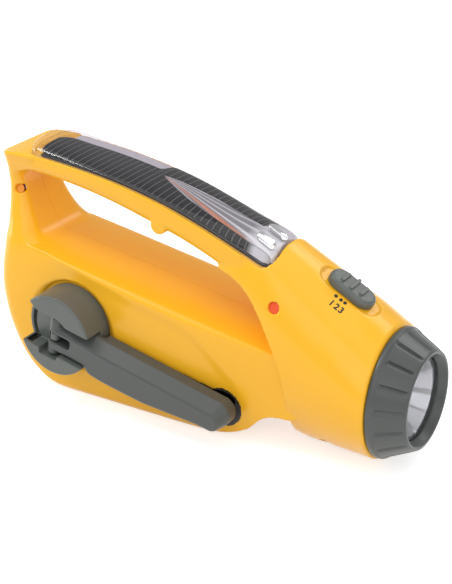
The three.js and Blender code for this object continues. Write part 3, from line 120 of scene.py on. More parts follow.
# %% Camera
scene = bpy.context.scene
scene.view_settings.view_transform = "Standard"
camera_place = Vector((334.639, -453.674, 310.991)) * MM
camera_axes = Matrix((
    (0.84780015, -0.20976911, 0.4870645),
    (0.52994047, 0.36966497, -0.76322402),
    (-0.01994986, 0.90517663, 0.42456716),
))
focal = 1342.435
picture_size = (452, 584)
camera_data = bpy.data.cameras.new("camera")
camera_data.sensor_fit = "VERTICAL"
camera_data.sensor_height = 36
camera_data.lens = focal * 36 / picture_size[1]
camera_data.clip_start = 0.01
camera_data.clip_end = 20
camera = bpy.data.objects.new("camera", camera_data)
camera.matrix_world = Matrix.Translation(camera_place) @ camera_axes.to_4x4()
scene.collection.objects.link(camera)
scene.camera = camera


def sight_line(x, y):
    """Direction from the camera through a place of the picture."""
    across = (x - picture_size[0] / 2) / focal
    down = (y - picture_size[1] / 2) / focal
    return (camera_axes @ Vector((across, -down, -1))).normalized()


print("lens in mm:", round(camera_data.lens, 2))

# %% [markdown]
# ## Solids from sections
# Each moulded piece starts as closed skins over many sections, joined and cut like clay. Such a piece
# could also be one hand-made cage under a subdivision surface. Sections are chosen because the outlines
# were measured as sections, and because a closed skin can be cut and joined without holes.

# %% New pieces and skins over sections
def new_piece(name, places, faces, place=None):
    """An object from places in millimetres, turned into the flashlight's frame by a 4x4 array."""
    spots = np.asarray(places, dtype=float)
    if place is not None:
        spots = spots @ place[:3, :3].T + place[:3, 3]
    mesh = bpy.data.meshes.new(name)
    mesh.from_pydata((spots * MM).tolist(), [], [list(f) for f in faces])
    whole = bmesh.new()
    whole.from_mesh(mesh)
    bmesh.ops.remove_doubles(whole, verts=whole.verts, dist=1e-7)
    bmesh.ops.dissolve_degenerate(whole, edges=whole.edges, dist=1e-8)
    bmesh.ops.recalc_face_normals(whole, faces=whole.faces)
    whole.to_mesh(mesh)
    whole.free()
    obj = bpy.data.objects.new(name, mesh)
    scene.collection.objects.link(obj)
    return obj


def skin(name, rings, place=None):
    """Closed skin over rings with as many points each, with a fan at each end."""
    rings = [np.asarray(ring, dtype=float) for ring in rings]
    count = len(rings[0])
    places = np.vstack(rings + [rings[0].mean(axis=0), rings[-1].mean(axis=0)])
    faces = []
    for r in range(len(rings) - 1):
        for k in range(count):
            a, b = r * count + k, r * count + (k + 1) % count
            faces.append((a, b, b + count, a + count))
    ends = ((0, len(places) - 2), ((len(rings) - 1) * count, len(places) - 1))
    for start, middle in ends:
        faces += [(start + k, start + (k + 1) % count, middle) for k in range(count)]
    return new_piece(name, places, faces, place)


print("helpers: new_piece, skin")


# %% Flat and turned solids
def slab(name, outline, low, high, place=None):
    """A flat outline from one height to another."""
    ring = np.asarray(outline, dtype=float)
    count = len(ring)
    places = [(x, y, low) for x, y in ring] + [(x, y, high) for x, y in ring]
    faces = [(k, (k + 1) % count, (k + 1) % count + count, k + count) for k in range(count)]
    faces += [tuple(range(count)), tuple(range(count, 2 * count))]
    return new_piece(name, places, faces, place)


def turned(name, profile, sides=96, place=None):
    """A closed profile of (radius, height) rows turned about z."""
    angles = [2 * math.pi * k / sides for k in range(sides)]
    places, faces, spots = [], [], []
    for radius, z in profile:
        if radius == 0:
            spots.append([len(places)] * sides)
            places.append((0, 0, z))
        else:
            spots.append(list(range(len(places), len(places) + sides)))
            places += [(radius * math.cos(a), radius * math.sin(a), z) for a in angles]
    closed = profile[0][0] == 0 and profile[-1][0] == 0
    rows = len(spots) - 1 if closed else len(spots)
    for r in range(rows):
        upper = spots[(r + 1) % len(spots)]
        for k in range(sides):
            j = (k + 1) % sides
            face = [spots[r][k], spots[r][j], upper[j], upper[k]]
            face = [v for n, v in enumerate(face) if v not in face[:n]]
            if len(face) > 2:
                faces.append(face)
    return new_piece(name, places, faces, place)


print("helpers: slab, turned")

# %% [markdown]
# A mould has no knife edges: every corner of the plastic carries a small round. A bevel on each edge would
# be one way, but it fails where cut surfaces meet at odd angles. Here an even fine mesh is laid over the
# finished form and smoothed a few times, which rounds all its edges alike.


# %% Joining, cutting and rounding
def bake(obj):
    bpy.context.view_layer.update()
    shown = obj.evaluated_get(bpy.context.evaluated_depsgraph_get())
    mesh = bpy.data.meshes.new_from_object(shown)
    obj.modifiers.clear()
    old = obj.data
    obj.data = mesh
    mesh.name = obj.name
    bpy.data.meshes.remove(old)
    return obj


def combine(base, operation, *tools):
    """Joins tools to base, cuts them out of it or keeps what they share with it."""
    for tool in tools:
        step = base.modifiers.new("shape", "BOOLEAN")
        step.operation = operation
        step.solver = "MANIFOLD"
        step.object = tool
    bake(base)
    for tool in tools:
        bpy.data.objects.remove(tool)
    return base


def rounded(obj, grain, passes):
    """Rounds every edge by an even fine mesh and a few smoothing passes."""
    fine = obj.modifiers.new("grain", "REMESH")
    fine.mode = "VOXEL"
    fine.voxel_size = grain * MM
    soft = obj.modifiers.new("soft", "SMOOTH")
    soft.factor = 0.5
    soft.iterations = passes
    return bake(obj)


def smooth_shaded(obj, angle=38):
    obj.data.shade_smooth()
    obj.data.set_sharp_from_angle(angle=math.radians(angle))
    return obj


print("helpers: bake, combine, rounded, smooth_shaded")


# %% Arcs and rounded plans
def arc(x, y, radius, start, end, steps=12):
    angles = [math.radians(start + (end - start) * k / steps) for k in range(steps + 1)]
    return [(x + radius * math.cos(a), y + radius * math.sin(a)) for a in angles]


def rounded_box(x, y, half_x, half_y, radius, steps=12):
    return [
        *arc(x + half_x - radius, y - half_y + radius, radius, -90, 0, steps),
        *arc(x + half_x - radius, y + half_y - radius, radius, 0, 90, steps),
        *arc(x - half_x + radius, y + half_y - radius, radius, 90, 180, steps),
        *arc(x - half_x + radius, y - half_y + radius, radius, 180, 270, steps),
    ]


print("a rounded plan has", len(rounded_box(0, 0, 2, 1, 0.5)), "points")

# %% [markdown]
# ## Frames
# The crank is drawn as seen from its own side, turned by the angle at which it lies folded, and the lens
# ring as seen from the front. A frame is a 4x4 array that stands such a flat drawing in its place. The
# pieces could be turned after making. With a frame the numbers stay those of the piece's own drawing.


# %% Frames of the side, the hub, the arm and the head
def placing(axes, origin):
    place = np.eye(4)
    place[:3, :3] = np.array(axes).T
    place[:3, 3] = origin
    return place


hub_x = at_share(0.2258)
hub_z = 0.3321 * body_height
arm_angle = math.radians(-12.8)
ring_height = 31.4
ring_radius = 29.6
cos_arm, sin_arm = math.cos(arm_angle), math.sin(arm_angle)


def side_placed(x, z, y=0):
    """Frame of a drawing as seen from the crank's side."""
    return placing([(1, 0, 0), (0, 0, 1), (0, -1, 0)], (x, y, z))


def shifted(frame_of, u, v, w=0):
    """A frame moved along its own axes."""
    return frame_of @ placing([(1, 0, 0), (0, 1, 0), (0, 0, 1)], (u, v, w))


side = side_placed(0, 0)
hub_frame = side_placed(hub_x, hub_z)
arm_frame = placing([(cos_arm, 0, sin_arm), (-sin_arm, 0, cos_arm), (0, -1, 0)], (hub_x, 0, hub_z))
head_frame = placing([(0, 0, -1), (0, 1, 0), (1, 0, 0)], (ring_x, 0, ring_height))
print("hub at", round(hub_x, 2), round(hub_z, 2))

# %% [markdown]
# ## The housing
# Two glossy shells meet on the middle plane. The lower body has a flat foot, a round heel and a toe cut
# away under the head. A column carries the handle, whose lower edges are round for the fingers, and the
# head swells to a true circle at the lens ring, with a ridge line down both sides. The outlines are
# curves through measured rows, each a share along the body and a share of its height or width.

# %% Outlines of the housing
rim_rows = [(-0.02, 0.988), (0.08, 1.002), (0.19, 0.9892), (0.3, 0.9655), (0.38, 0.9399), (0.465, 0.9044),
            (0.565, 0.8472), (0.645, 0.793), (0.715, 0.7427), (0.78, 0.6944)]
underside_rows = [(0.02, 0.9251), (0.14, 0.9113), (0.237, 0.8896), (0.34, 0.8521), (0.443, 0.8028),
                  (0.52, 0.7624), (0.61, 0.6983), (0.7, 0.6057)]
crown_rows = [(0, 0), (0.35, 0.003), (0.65, 0.009), (0.85, 0.017), (0.94, 0.027), (1, 0.05), (1.2, 0.2)]
lean_rows = [(0, 0.012), (0.1325, 0.015), (0.2212, 0.014), (0.33, 0.003), (0.4282, -0.004), (0.52, -0.001),
             (0.586, 0.004), (0.65, 0.006), (0.7634, 0.007), (0.8817, 0.01), (1, 0.011)]
toe_rows = [(0, 0.588), (0.02, 0.635), (0.04, 0.669), (0.0622, 0.6956), (0.0986, 0.7173), (0.1243, 0.7318),
            (0.146, 0.752), (0.155, 0.773), (0.158, 0.8), (0.165, 0.825), (0.7043, 0.825)]
side_rows = [(0, 0.975), (0.1325, 0.99), (0.3395, 1), (0.4578, 0.985), (0.5564, 0.945), (0.61, 0.905),
             (0.6451, 0.855), (0.68, 0.785)]
taper_rows = [(0.4, 1), (0.55, 0.985), (0.7, 0.935), (0.83, 0.9)]
column_front_rows = [(0.5071, 0.24), (0.586, 0.2), (0.6155, 0.148), (0.6323, 0.126), (0.652, 0.104),
                     (0.6944, 0.088), (0.7536, 0.071), (0.8324, 0.055), (0.8669, 0.051), (0.8945, 0.053),
                     (0.9123, 0.064), (0.9231, 0.087), (0.9409, 0.12), (1.0, 0.12)]
column_corner_rows = [(0.5071, 0.45), (0.6648, 0.44), (0.7536, 0.28), (0.8324, 0.17), (1.0, 0.17)]
column_side_rows = [(0.5071, 0.92), (0.6057, 0.9), (0.6451, 0.85), (0.68, 0.775), (0.7043, 0.725),
                    (0.75, 0.655), (0.793, 0.602), (0.8521, 0.57), (0.9113, 0.605), (0.9655, 0.67),
                    (0.9901, 0.705), (1, 0.685)]
ridge_rows = [(0.609, 0.724), (0.609, 0.6983), (0.65, 0.6767), (0.686, 0.6431), (0.717, 0.5909),
              (0.738, 0.5416), (0.759, 0.4825), (0.774, 0.4282), (0.789, 0.3543), (0.799, 0.2705),
              (0.8025, 0.1917), (0.8, 0.1128), (0.795, -0.0351)]
head_top_rows = [(0.55, 0.9014), (0.609, 0.8965), (0.67, 0.863), (0.734, 0.8086), (0.785, 0.7603),
                 (0.841, 0.7061), (0.883, 0.6608), (0.934, 0.6185), (1, 0.5417)]
head_bottom_rows = [(0.55, 0.08), (0.73, 0.05), (0.795, 0.03), (0.836, 0.02), (0.88, 0.0195),
                    (0.94, 0.016), (1, 0.016)]
head_width_rows = [(0.55, 0.66), (0.609, 0.727), (0.686, 0.85), (0.717, 0.905), (0.759, 0.97), (0.79, 1),
                   (0.857, 1.052), (0.929, 1.1), (1, 1.1212)]
ring_pull_rows = [(0.7, 0), (1, 1)]
squareness_rows = [(0.6, 2.35), (0.75, 2.25), (0.88, 2.1), (0.97, 2), (1, 2)]
foot_radius = 4.8
rear_radius = 8.5
heel_radius = 34
handle_half = 17.6
handle_edge = 1.4
grip_radius = 5


def rim_at(x):
    return through(rim_rows, share_of(x)) * body_height


def towards_ring(rows, size, ring_value, x):
    pull = through(ring_pull_rows, share_of(x))
    return through(rows, share_of(x)) * size + pull * (ring_value - rows[-1][1] * size)


def head_top_at(x):
    return towards_ring(head_top_rows, body_height, ring_height + ring_radius, x)


def head_bottom_at(x):
    return towards_ring(head_bottom_rows, body_height, ring_height - ring_radius, x)


def head_half_at(x):
    return towards_ring(head_width_rows, body_half_width, ring_radius, x)


print("head from", round(head_top_at(ring_x), 1), "down to", round(head_bottom_at(ring_x), 1))


# %% [markdown]
# The side under the crank is dished a little, with a soft edge that runs down towards the arm's tip. The
# dish could be cut with a shaped tool. It is simpler to draw the near side in by a depth that depends on
# the distance to that edge, because then the skin has no seam there.


# %% Rear outline and the dish
def rear_at(z, inset):
    lean = through(lean_rows, z / body_height) * body_length
    below = min(max(heel_radius - z, 0), heel_radius - inset)
    return rear_x + lean + heel_radius - math.sqrt((heel_radius - inset) ** 2 - below**2)


dish_rows = [(-30, 69), (-15.6, 65.1), (-8, 62.8), (7.2, 59.5), (29.5, 54.6), (43.9, 49.4), (57.8, 37.5),
             (68.9, 24), (72.6, 17), (77, 2)]
dish_end = dish_rows[-1][0]
dish_depth = 0.85
dish_edge = 6.5
dish_fade = 34
dish_start = 35
dish_x = np.linspace(dish_rows[0][0], dish_end, 200)
dish_z = np.array([through(dish_rows, x) for x in dish_x])


def soft_step(value):
    value = min(max(value, 0.0), 1.0)
    return value * value * (3 - 2 * value)


def dish(x, z, start):
    """How deep the near side is dished: steep at the soft edge, fading out towards the hub."""
    if z > np.interp(x, dish_x, dish_z) or x > dish_end:
        return 0.0
    inside = np.hypot(dish_x - x, dish_z - z).min()
    share = soft_step(inside / dish_edge) * (1 - soft_step((inside - dish_edge) / dish_fade))
    return dish_depth * share * soft_step((x - start) / dish_start)


print("dish in mm at the arm's tip:", round(dish(60, 25, rear_x), 2))

# %% [markdown]
# The lower body is a skin over level sections from the foot up, narrower at the foot's round edge, with
# round rear corners. Its top is cut off by the crowned floor of the finger gap, which slopes down towards
# the head. A skin over sections from rear to front would serve too, but the flat foot and the toe's curve
# come out cleaner with level ones.

# %% Lower body and the floor of the finger gap
coarse_stations = 6


def trunk_ring(z, inset, stations, corner_steps):
    foot = max(foot_radius - z, 0)
    tuck = foot_radius - math.sqrt(max((foot_radius - inset) ** 2 - foot**2, 0))
    half = through(side_rows, z / body_height) * body_half_width - tuck
    rear = rear_at(z, inset)
    front = at_share(through(toe_rows, (z - inset) / body_height)) - inset
    radius = min(rear_radius - inset, half * 0.92)
    reach = front - rear - radius
    far = []
    for k in range(stations):
        x = rear + radius + reach * (k + 1) / stations
        far.append((x, half * through(taper_rows, share_of(x)), z))
    dished = stations > coarse_stations and inset == 0
    near = [(x, (dish(x, z, rear + radius) if dished else 0) - y, z) for x, y, z in reversed(far)]
    corners = arc(rear + radius, radius - half, radius, 270, 180, corner_steps)
    corners += arc(rear + radius, half - radius, radius, 180, 90, corner_steps)
    return near + [(x, y, z) for x, y in corners] + far


def gap_floor(inset):
    rings = []
    rear_share, front_share = 0.6737, 0.373
    for x in (rear_x - 10, ring_x + 10):
        height = (rear_share + (front_share - rear_share) * share_of(x)) * body_height - inset
        places = np.concatenate([np.linspace(0, 0.85, 12), np.linspace(0.86, 1.2, 18)])
        crown = [(p * body_half_width, height - through(crown_rows, p) * body_height) for p in places]
        line = [(-y, z) for y, z in reversed(crown[1:])] + crown
        edge = line[-1][0]
        section = [*line, (edge, 2 * body_height), (-edge, 2 * body_height)]
        rings.append([(x, y, z) for y, z in section])
    return skin("gap_floor", rings)


def trunk(inset, fine):
    steps = 16 if fine else 4
    turns = [math.pi / 2 * k / steps for k in range(steps + 1)]
    levels = [inset + (foot_radius - inset) * (1 - math.cos(turn)) for turn in turns]
    if fine:
        shares = [*np.linspace(0.06, 0.16, 26), *np.linspace(0.17, 0.68, 60)]
    else:
        shares = np.linspace(0.08, 0.68, 14)
    levels += [share * body_height for share in shares]
    stations, corner_steps = (100, 14) if fine else (coarse_stations, 4)
    rings = [trunk_ring(z, inset, stations, corner_steps) for z in levels]
    return combine(skin("trunk", rings), "DIFFERENCE", gap_floor(inset))


print("points in a coarse section:", len(trunk_ring(10, 0, coarse_stations, 4)))

# %% [markdown]
# The column is a post of level sections at the rear, slim in the middle and wider at both ends. The handle
# is an arch of upright sections, round below for the fingers and nearly square above, where the cover
# lies. Both could be one bent tube, but the column and the handle have different outlines, so each gets
# its own sections.


# %% Column and handle
def column():
    rings = []
    for share in np.linspace(0.5663, 1.0, 46):
        z = share * body_height
        rear = rear_at(z, 0)
        depth = (at_share(through(column_front_rows, share)) - rear) / 2
        half = through(column_side_rows, share) * body_half_width
        radius = min(through(column_corner_rows, share) * body_half_width, depth * 0.92)
        rings.append([(x, y, z) for x, y in rounded_box(rear + depth, 0, depth, half, radius, 10)])
    reach, ceiling = 2 * body_half_width, 2 * body_height
    above = []
    for x in np.linspace(rear_x - 1, at_share(0.16), 12):
        z = rim_at(x)
        above.append([(x, -reach, z), (x, reach, z), (x, reach, ceiling), (x, -reach, ceiling)])
    return combine(skin("column", rings), "DIFFERENCE", skin("above", above))


def handle():
    shares = np.linspace(0.04, 0.68, 56)
    rings = []
    for share in shares:
        x = at_share(share)
        top = rim_at(x) - (0.03 * body_height if share == shares[-1] else 0)
        bottom = through(underside_rows, share) * body_height
        far = [
            *arc(handle_half - grip_radius, bottom + grip_radius, grip_radius, -90, 0, 10),
            *arc(handle_half - handle_edge, top - handle_edge, handle_edge, 0, 90, 4),
        ]
        ring = far + [(-y, z) for y, z in reversed(far)]
        rings.append([(x, y, z) for y, z in ring])
    return skin("handle", rings)


print("handle width in mm:", 2 * handle_half)

# %% [markdown]
# The head is skinned over upright sections, from nearly square ones under the cover to a true circle at
# the lens ring. Behind, it ends at the ridge line that curves down both sides. The ridge could be a crease
# in one skin. Cutting the head off along a curve and joining it to the narrower body gives the same
# sharp line with less work.


# %% Head with its ridge line
def head_shell(inset, sides, stations):
    chamfer = 0.7
    places = [*(at_share(s) for s in np.linspace(0.56, 0.985, stations)), ring_x - chamfer]
    stops = [(x, inset) for x in places] + [(ring_x + 1, inset) if inset else (ring_x, chamfer)]
    skins = []
    for x, depth in stops:
        half = head_half_at(x) - depth
        top, bottom = head_top_at(x) - depth, head_bottom_at(x) + depth
        power = 2 / through(squareness_rows, share_of(x))
        ring = []
        for k in range(sides):
            a = 2 * math.pi * k / sides
            c, s = math.cos(a), math.sin(a)
            y = half * math.copysign(abs(c) ** power, c)
            z = (top + bottom) / 2 + (top - bottom) / 2 * math.copysign(abs(s) ** power, s)
            ring.append((x, y, z))
        skins.append(ring)
    shift = inset / body_length
    rows = [(k, x + shift) for k, (x, _) in enumerate(ridge_rows)]
    heights = [(k, z) for k, (_, z) in enumerate(ridge_rows)]
    steps = np.linspace(1, 12, 90)
    ridge = [(at_share(through(rows, t)), through(heights, t) * body_height) for t in steps]
    behind = rear_x - body_length
    ceiling, bottom_z = 2 * body_height, ridge[-1][1] - body_height
    outline = [(behind, ceiling), (ridge[0][0], ceiling), *ridge]
    outline += [(ridge[-1][0], bottom_z), (behind, bottom_z)]
    cutter = slab("behind_ridge", outline, -4 * body_half_width, 4 * body_half_width, side)
    return combine(skin("head", skins), "DIFFERENCE", cutter)


print("head half width at the ring:", round(head_half_at(ring_x), 2))

# %% [markdown]
# A shallow bed along the top of the handle takes the clear cover. Deep round recesses in the side take the
# housing's screws, and a shallow oval seat on the slope of the head takes the switch. All are plain cuts,
# so each is a solid to be taken away from the shell, with a little room round what sits in it.


# %% Bed of the solar cover, screw recesses and the seat of the switch
cover_half = 16.8
cover_rear_share = 0.084
cover_front_share = 0.743
cover_corner = 7
bed_depth = 0.9


def cover_bed(margin, depth, fine=True):
    start, end = at_share(cover_rear_share) - margin, at_share(cover_front_share) + margin
    half, ceiling = cover_half + margin, 2 * body_height
    plan = rounded_box((start + end) / 2, 0, (end - start) / 2, half, cover_corner + margin, 12)
    rings = []
    for x in np.linspace(start - 1, end + 1, 60 if fine else 14):
        z = rim_at(x) - depth
        rings.append([(x, -2 * half, z), (x, 2 * half, z), (x, 2 * half, ceiling), (x, -2 * half, ceiling)])
    return combine(slab("bed", plan, 0, ceiling), "INTERSECT", skin("bed_above", rings))


def across(name, x, z, radius, low, high, sides=48):
    """A cylinder across the housing, from one distance towards the crank's side out to another."""
    profile = [(0, low), (radius, low), (radius, high), (0, high)]
    return turned(name, profile, sides, side_placed(x, z))


# Each row: shares of the body's length, height and half width, and the screw's length.
screw_rows = {
    "rear_screw": (0.0434, 0.829, 0.57, 20),
    "head_screw": (0.765, 0.611, 0.9, 34),
    "barrel_screw": (0.878, 0.067, 0.32, 14),
    "handle_screw": (0.4537, 0.8126, 0.66, 22),
}
screws = {}
for name, (along, up, out, length) in screw_rows.items():
    screws[name] = (at_share(along), up * body_height, out * body_half_width - 1.8, length)
head_height = 1.9
room = 0.3


def screw_holes():
    holes = []
    for name, (x, z, seat, length) in screws.items():
        if name != "handle_screw":
            radius = 2.2 if name == "rear_screw" else 2.6
            holes.append(across("recess", x, z, radius, seat - head_height, 2 * body_half_width))
        holes.append(across("shank_hole", x, z, 1.6, seat - length - room, seat - room, 24))
    return holes


print("screws:", ", ".join(screws))

# %% Seat of the switch
switch_length = 22.5
switch_half = 5.7
slope_x = at_share(0.893)
slope_drop = head_top_at(slope_x - switch_length / 2) - head_top_at(slope_x + switch_length / 2)
slope_z = (head_top_at(slope_x - switch_length / 2) + head_top_at(slope_x + switch_length / 2)) / 2
tilt = math.atan2(slope_drop, switch_length)
down_slope, off_slope = (math.cos(tilt), 0, -math.sin(tilt)), (math.sin(tilt), 0, math.cos(tilt))
slope_frame = placing([down_slope, (0, 1, 0), off_slope], (slope_x, 0, slope_z))


def switch_cuts():
    seat = rounded_box(0, 0, switch_length / 2 + 3.8, switch_half + 0.8, switch_half, 16)
    slot = rounded_box(0, 0, 5.8, 2.3, 0.8, 4)
    seat_depth = 1.3
    return [slab("seat", seat, -seat_depth, 8, slope_frame), slab("slot", slot, -6, 0, slope_frame)]


print("switch slopes by", round(math.degrees(tilt), 1), "degrees")

# %% [markdown]
# ## The crank's side
# The hub turns in a round recess with a sloping collar, the folded knob lies in a pocket behind the arm,
# and a scoop round the arm's tip lets a finger in. These are cut out of the near shell before its edges
# are rounded, so that each has the small soft edge of a moulding.

# %% Hub recess, knob pocket and finger scoop
hub_radius = 19.5
hub_base = body_half_width - 2.9
hub_face = body_half_width + 14.1
arm_inner = body_half_width + 1
arm_outer = arm_inner + 11.2
boss_inner = hub_base - 0.3 - 3.2
knob_pivot = (82, -1.8, arm_inner + 3.8)


def hub_recess():
    base, rim = hub_base - 0.3, body_half_width + 0.4
    floor_radius, collar_radius = 21, 24.6
    profile = [(0, base), (floor_radius, base), (floor_radius, rim - 2.2), (collar_radius, rim),
               (collar_radius, hub_face), (0, hub_face)]
    return turned("hub_recess", profile, 128, hub_frame)


def knob_pocket(margin):
    reach = 24.7 + margin
    half = 4.8 + margin
    top = 5.6
    outline = [(half, top), (half, -reach), *arc(0, 0, reach, -90, -180, 24), (-reach, top)]
    spots = np.array(outline)
    count = len(spots)
    places = [(u, v, w) for v in (-half, half) for u, w in spots]
    faces = [(k, (k + 1) % count, (k + 1) % count + count, k + count) for k in range(count)]
    faces += [tuple(range(count)), tuple(range(count, 2 * count))]
    return new_piece("knob_pocket", places, faces, shifted(arm_frame, *knob_pivot))


scoop_middle = (82.5, -3.4)
scoop_radius = 9.4
scoop_floor_radius = 6.6


def finger_scoop(margin):
    floor = body_half_width - 3.8 - margin
    rim, above = scoop_radius + margin, body_half_width + 1
    profile = [(0, floor), (scoop_floor_radius + margin, floor), (rim, body_half_width - 1.2), (rim, above),
               (0, above)]
    return turned("finger_scoop", profile, 96, shifted(arm_frame, *scoop_middle))


print("pocket behind the arm at", knob_pivot)

# %% [markdown]
# The real housing is two shells of even wall, screwed together on the middle plane. The wall could come
# from a solidify modifier, which folds over itself in tight corners. Here the outside is made and rounded
# as one solid, a smaller copy of the same forms is taken out of it, and the whole is parted in two.

# %% Outside of the housing
boss_radius = 3.8


def boss_at(name, screw, half, *sides):
    """A post across the housing round a screw."""
    return across(name, screws[screw][0], screws[screw][1], boss_radius, -half, half, *sides)


handle_boss = boss_at("nub", "handle_screw", handle_half)
shell = combine(trunk(0, True), "UNION", column(), handle(), handle_boss, head_shell(0, 128, 60))
shell = combine(shell, "DIFFERENCE", cover_bed(0.12, bed_depth), *switch_cuts(), *screw_holes())
near_cuts = combine(hub_recess(), "UNION", knob_pocket(0), finger_scoop(0))
shell = combine(shell, "DIFFERENCE", near_cuts, across("bore", hub_x, hub_z, 7.5, boss_inner - 1, hub_base))
shell = rounded(shell, 0.5, 6)
print("outside faces:", len(shell.data.polygons))

# %% Inside of the housing
inside = combine(trunk(wall, False), "UNION", head_shell(wall, 28, 10))
inside = combine(inside, "DIFFERENCE", cover_bed(0.35 + wall, bed_depth + wall, False))
fittings = [
    across("bearing", hub_x, hub_z, 23.4, boss_inner, body_half_width - 1.2, 28),
    knob_pocket(1.5),
    finger_scoop(1.5),
    boss_at("head_boss", "head_screw", screws["head_screw"][2], 18),
    boss_at("barrel_boss", "barrel_screw", screws["barrel_screw"][2], 18),
]
inside = combine(inside, "DIFFERENCE", *fittings)
shell = combine(shell, "DIFFERENCE", inside)
print("hollow shell faces:", len(shell.data.polygons))

# %% Two shells
seam_half = 0.07
everything = [(-200, -200), (300, -200), (300, 300), (-200, 300)]


def half_of(whole, name, near):
    other = bpy.data.objects.new(name, whole.data.copy())
    scene.collection.objects.link(other)
    low, high = (seam_half, 200) if near else (-200, -seam_half)
    return combine(other, "INTERSECT", slab("half", everything, low, high, side))


right_shell = half_of(shell, "right_shell", True)
left_shell = half_of(shell, "left_shell", False)
bpy.data.objects.remove(shell)
for obj, node in ((right_shell, "right_housing"), (left_shell, "left_housing")):
    smooth_shaded(obj, 40)
    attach(obj, "housing")
    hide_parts(node)
print("shell faces:", len(right_shell.data.polygons), len(left_shell.data.polygons))

# %% [markdown]
# ## The finishes
# Moulded plastic is never perfectly even: its gloss varies a little with the flow of the mould, it
# carries a very fine grain, and dust and rubbing dull it slightly. One node group makes that from noise
# in the object's own space and gives out a roughness, a normal and a mask, so each material keeps its
# own base colour and gloss.


# %% Node helpers
def shader_group(name, inputs, outputs):
    group = bpy.data.node_groups.new(name, "ShaderNodeTree")
    for label, kind, value in inputs:
        socket = group.interface.new_socket(name=label, in_out="INPUT", socket_type=kind)
        if value is not None:
            socket.default_value = value
    for label, kind in outputs:
        group.interface.new_socket(name=label, in_out="OUTPUT", socket_type=kind)
    enter = group.nodes.new("NodeGroupInput")
    leave = group.nodes.new("NodeGroupOutput")
    return group, enter, leave


def noise_at(group, vector, scale, detail, rough=0.55):
    node = group.nodes.new("ShaderNodeTexNoise")
    node.inputs["Scale"].default_value = scale
    node.inputs["Detail"].default_value = detail
    node.inputs["Roughness"].default_value = rough
    group.links.new(vector, node.inputs["Vector"])
    return node.outputs["Fac"]


def mapped(group, value, low, high, to_low, to_high):
    node = group.nodes.new("ShaderNodeMapRange")
    for label, number in (("From Min", low), ("From Max", high)):
        node.inputs[label].default_value = number
    for label, number in (("To Min", to_low), ("To Max", to_high)):
        if isinstance(number, (int, float)):
            node.inputs[label].default_value = number
        else:
            group.links.new(number, node.inputs[label])
    group.links.new(value, node.inputs["Value"])
    return node.outputs["Result"]


def maths(group, operation, a, b):
    node = group.nodes.new("ShaderNodeMath")
    node.operation = operation
    for socket, value in zip(node.inputs, (a, b)):
        if isinstance(value, (int, float)):
            socket.default_value = value
        else:
            group.links.new(value, socket)
    return node.outputs[0]


print("node helpers: group, noise, range and arithmetic")

# %% Shared wear group
number = "NodeSocketFloat"
wear, wear_in, wear_out = shader_group(
    "wear",
    [("Roughness", number, 0.3), ("Variation", number, 0.06), ("Grain", number, 0.1),
     ("Grain Scale", number, 1500.0)],
    [("Roughness", number), ("Normal", "NodeSocketVector"), ("Mask", number)],
)
variation = wear_in.outputs["Variation"]
coordinates = wear.nodes.new("ShaderNodeTexCoord").outputs["Object"]
clouds = noise_at(wear, coordinates, 45, 3)
specks = noise_at(wear, coordinates, 420, 5, 0.7)
dulled = maths(wear, "MULTIPLY", maths(wear, "SUBTRACT", clouds, 0.5), variation)
rub_share = maths(wear, "MULTIPLY", variation, 0.8)
rubbed = maths(wear, "MULTIPLY", mapped(wear, specks, 0.62, 0.8, 0.0, 1.0), rub_share)
worn = maths(wear, "ADD", maths(wear, "ADD", wear_in.outputs["Roughness"], dulled), rubbed)
wear.links.new(worn, wear_out.inputs["Roughness"])
wear.links.new(mapped(wear, specks, 0.6, 0.78, 0.0, 1.0), wear_out.inputs["Mask"])
grain = wear.nodes.new("ShaderNodeTexNoise")
wear.links.new(coordinates, grain.inputs["Vector"])
wear.links.new(wear_in.outputs["Grain Scale"], grain.inputs["Scale"])
grain.inputs["Detail"].default_value = 2
bump = wear.nodes.new("ShaderNodeBump")
bump.inputs["Distance"].default_value = 0.00005
wear.links.new(grain.outputs["Fac"], bump.inputs["Height"])
wear.links.new(wear_in.outputs["Grain"], bump.inputs["Strength"])
wear.links.new(bump.outputs["Normal"], wear_out.inputs["Normal"])
print("wear group nodes:", len(wear.nodes))

# %% [markdown]
# Colours are written as the eye sees them, from 0 to 255, and turned into the linear values that a shader
# takes. Each plastic or metal has its own base colour and gloss, and the wear group does the rest. Painted
# pictures could be wrapped round the pieces instead, but a finish made from noise has no seams.


# %% Materials from colours as the eye sees them
def linear(color):
    parts = [c / 255 for c in color]
    return [c / 12.92 if c <= 0.04045 else ((c + 0.055) / 1.055) ** 2.4 for c in parts]


def material(name, color, roughness, metallic=0.0, variation=0.06, grain=0.1, grain_scale=1500, **settings):
    made = bpy.data.materials.new(name)
    made.use_nodes = True
    tree = made.node_tree
    shader = tree.nodes["Principled BSDF"]
    shader.inputs["Base Color"].default_value = (*linear(color), 1)
    shader.inputs["Metallic"].default_value = metallic
    for label, value in settings.items():
        shader.inputs[label.replace("_", " ").title().replace("Ior", "IOR")].default_value = value
    surface = tree.nodes.new("ShaderNodeGroup")
    surface.node_tree = wear
    surface.inputs["Roughness"].default_value = roughness
    surface.inputs["Variation"].default_value = variation
    surface.inputs["Grain"].default_value = grain
    surface.inputs["Grain Scale"].default_value = grain_scale
    tree.links.new(surface.outputs["Roughness"], shader.inputs["Roughness"])
    tree.links.new(surface.outputs["Normal"], shader.inputs["Normal"])
    return made


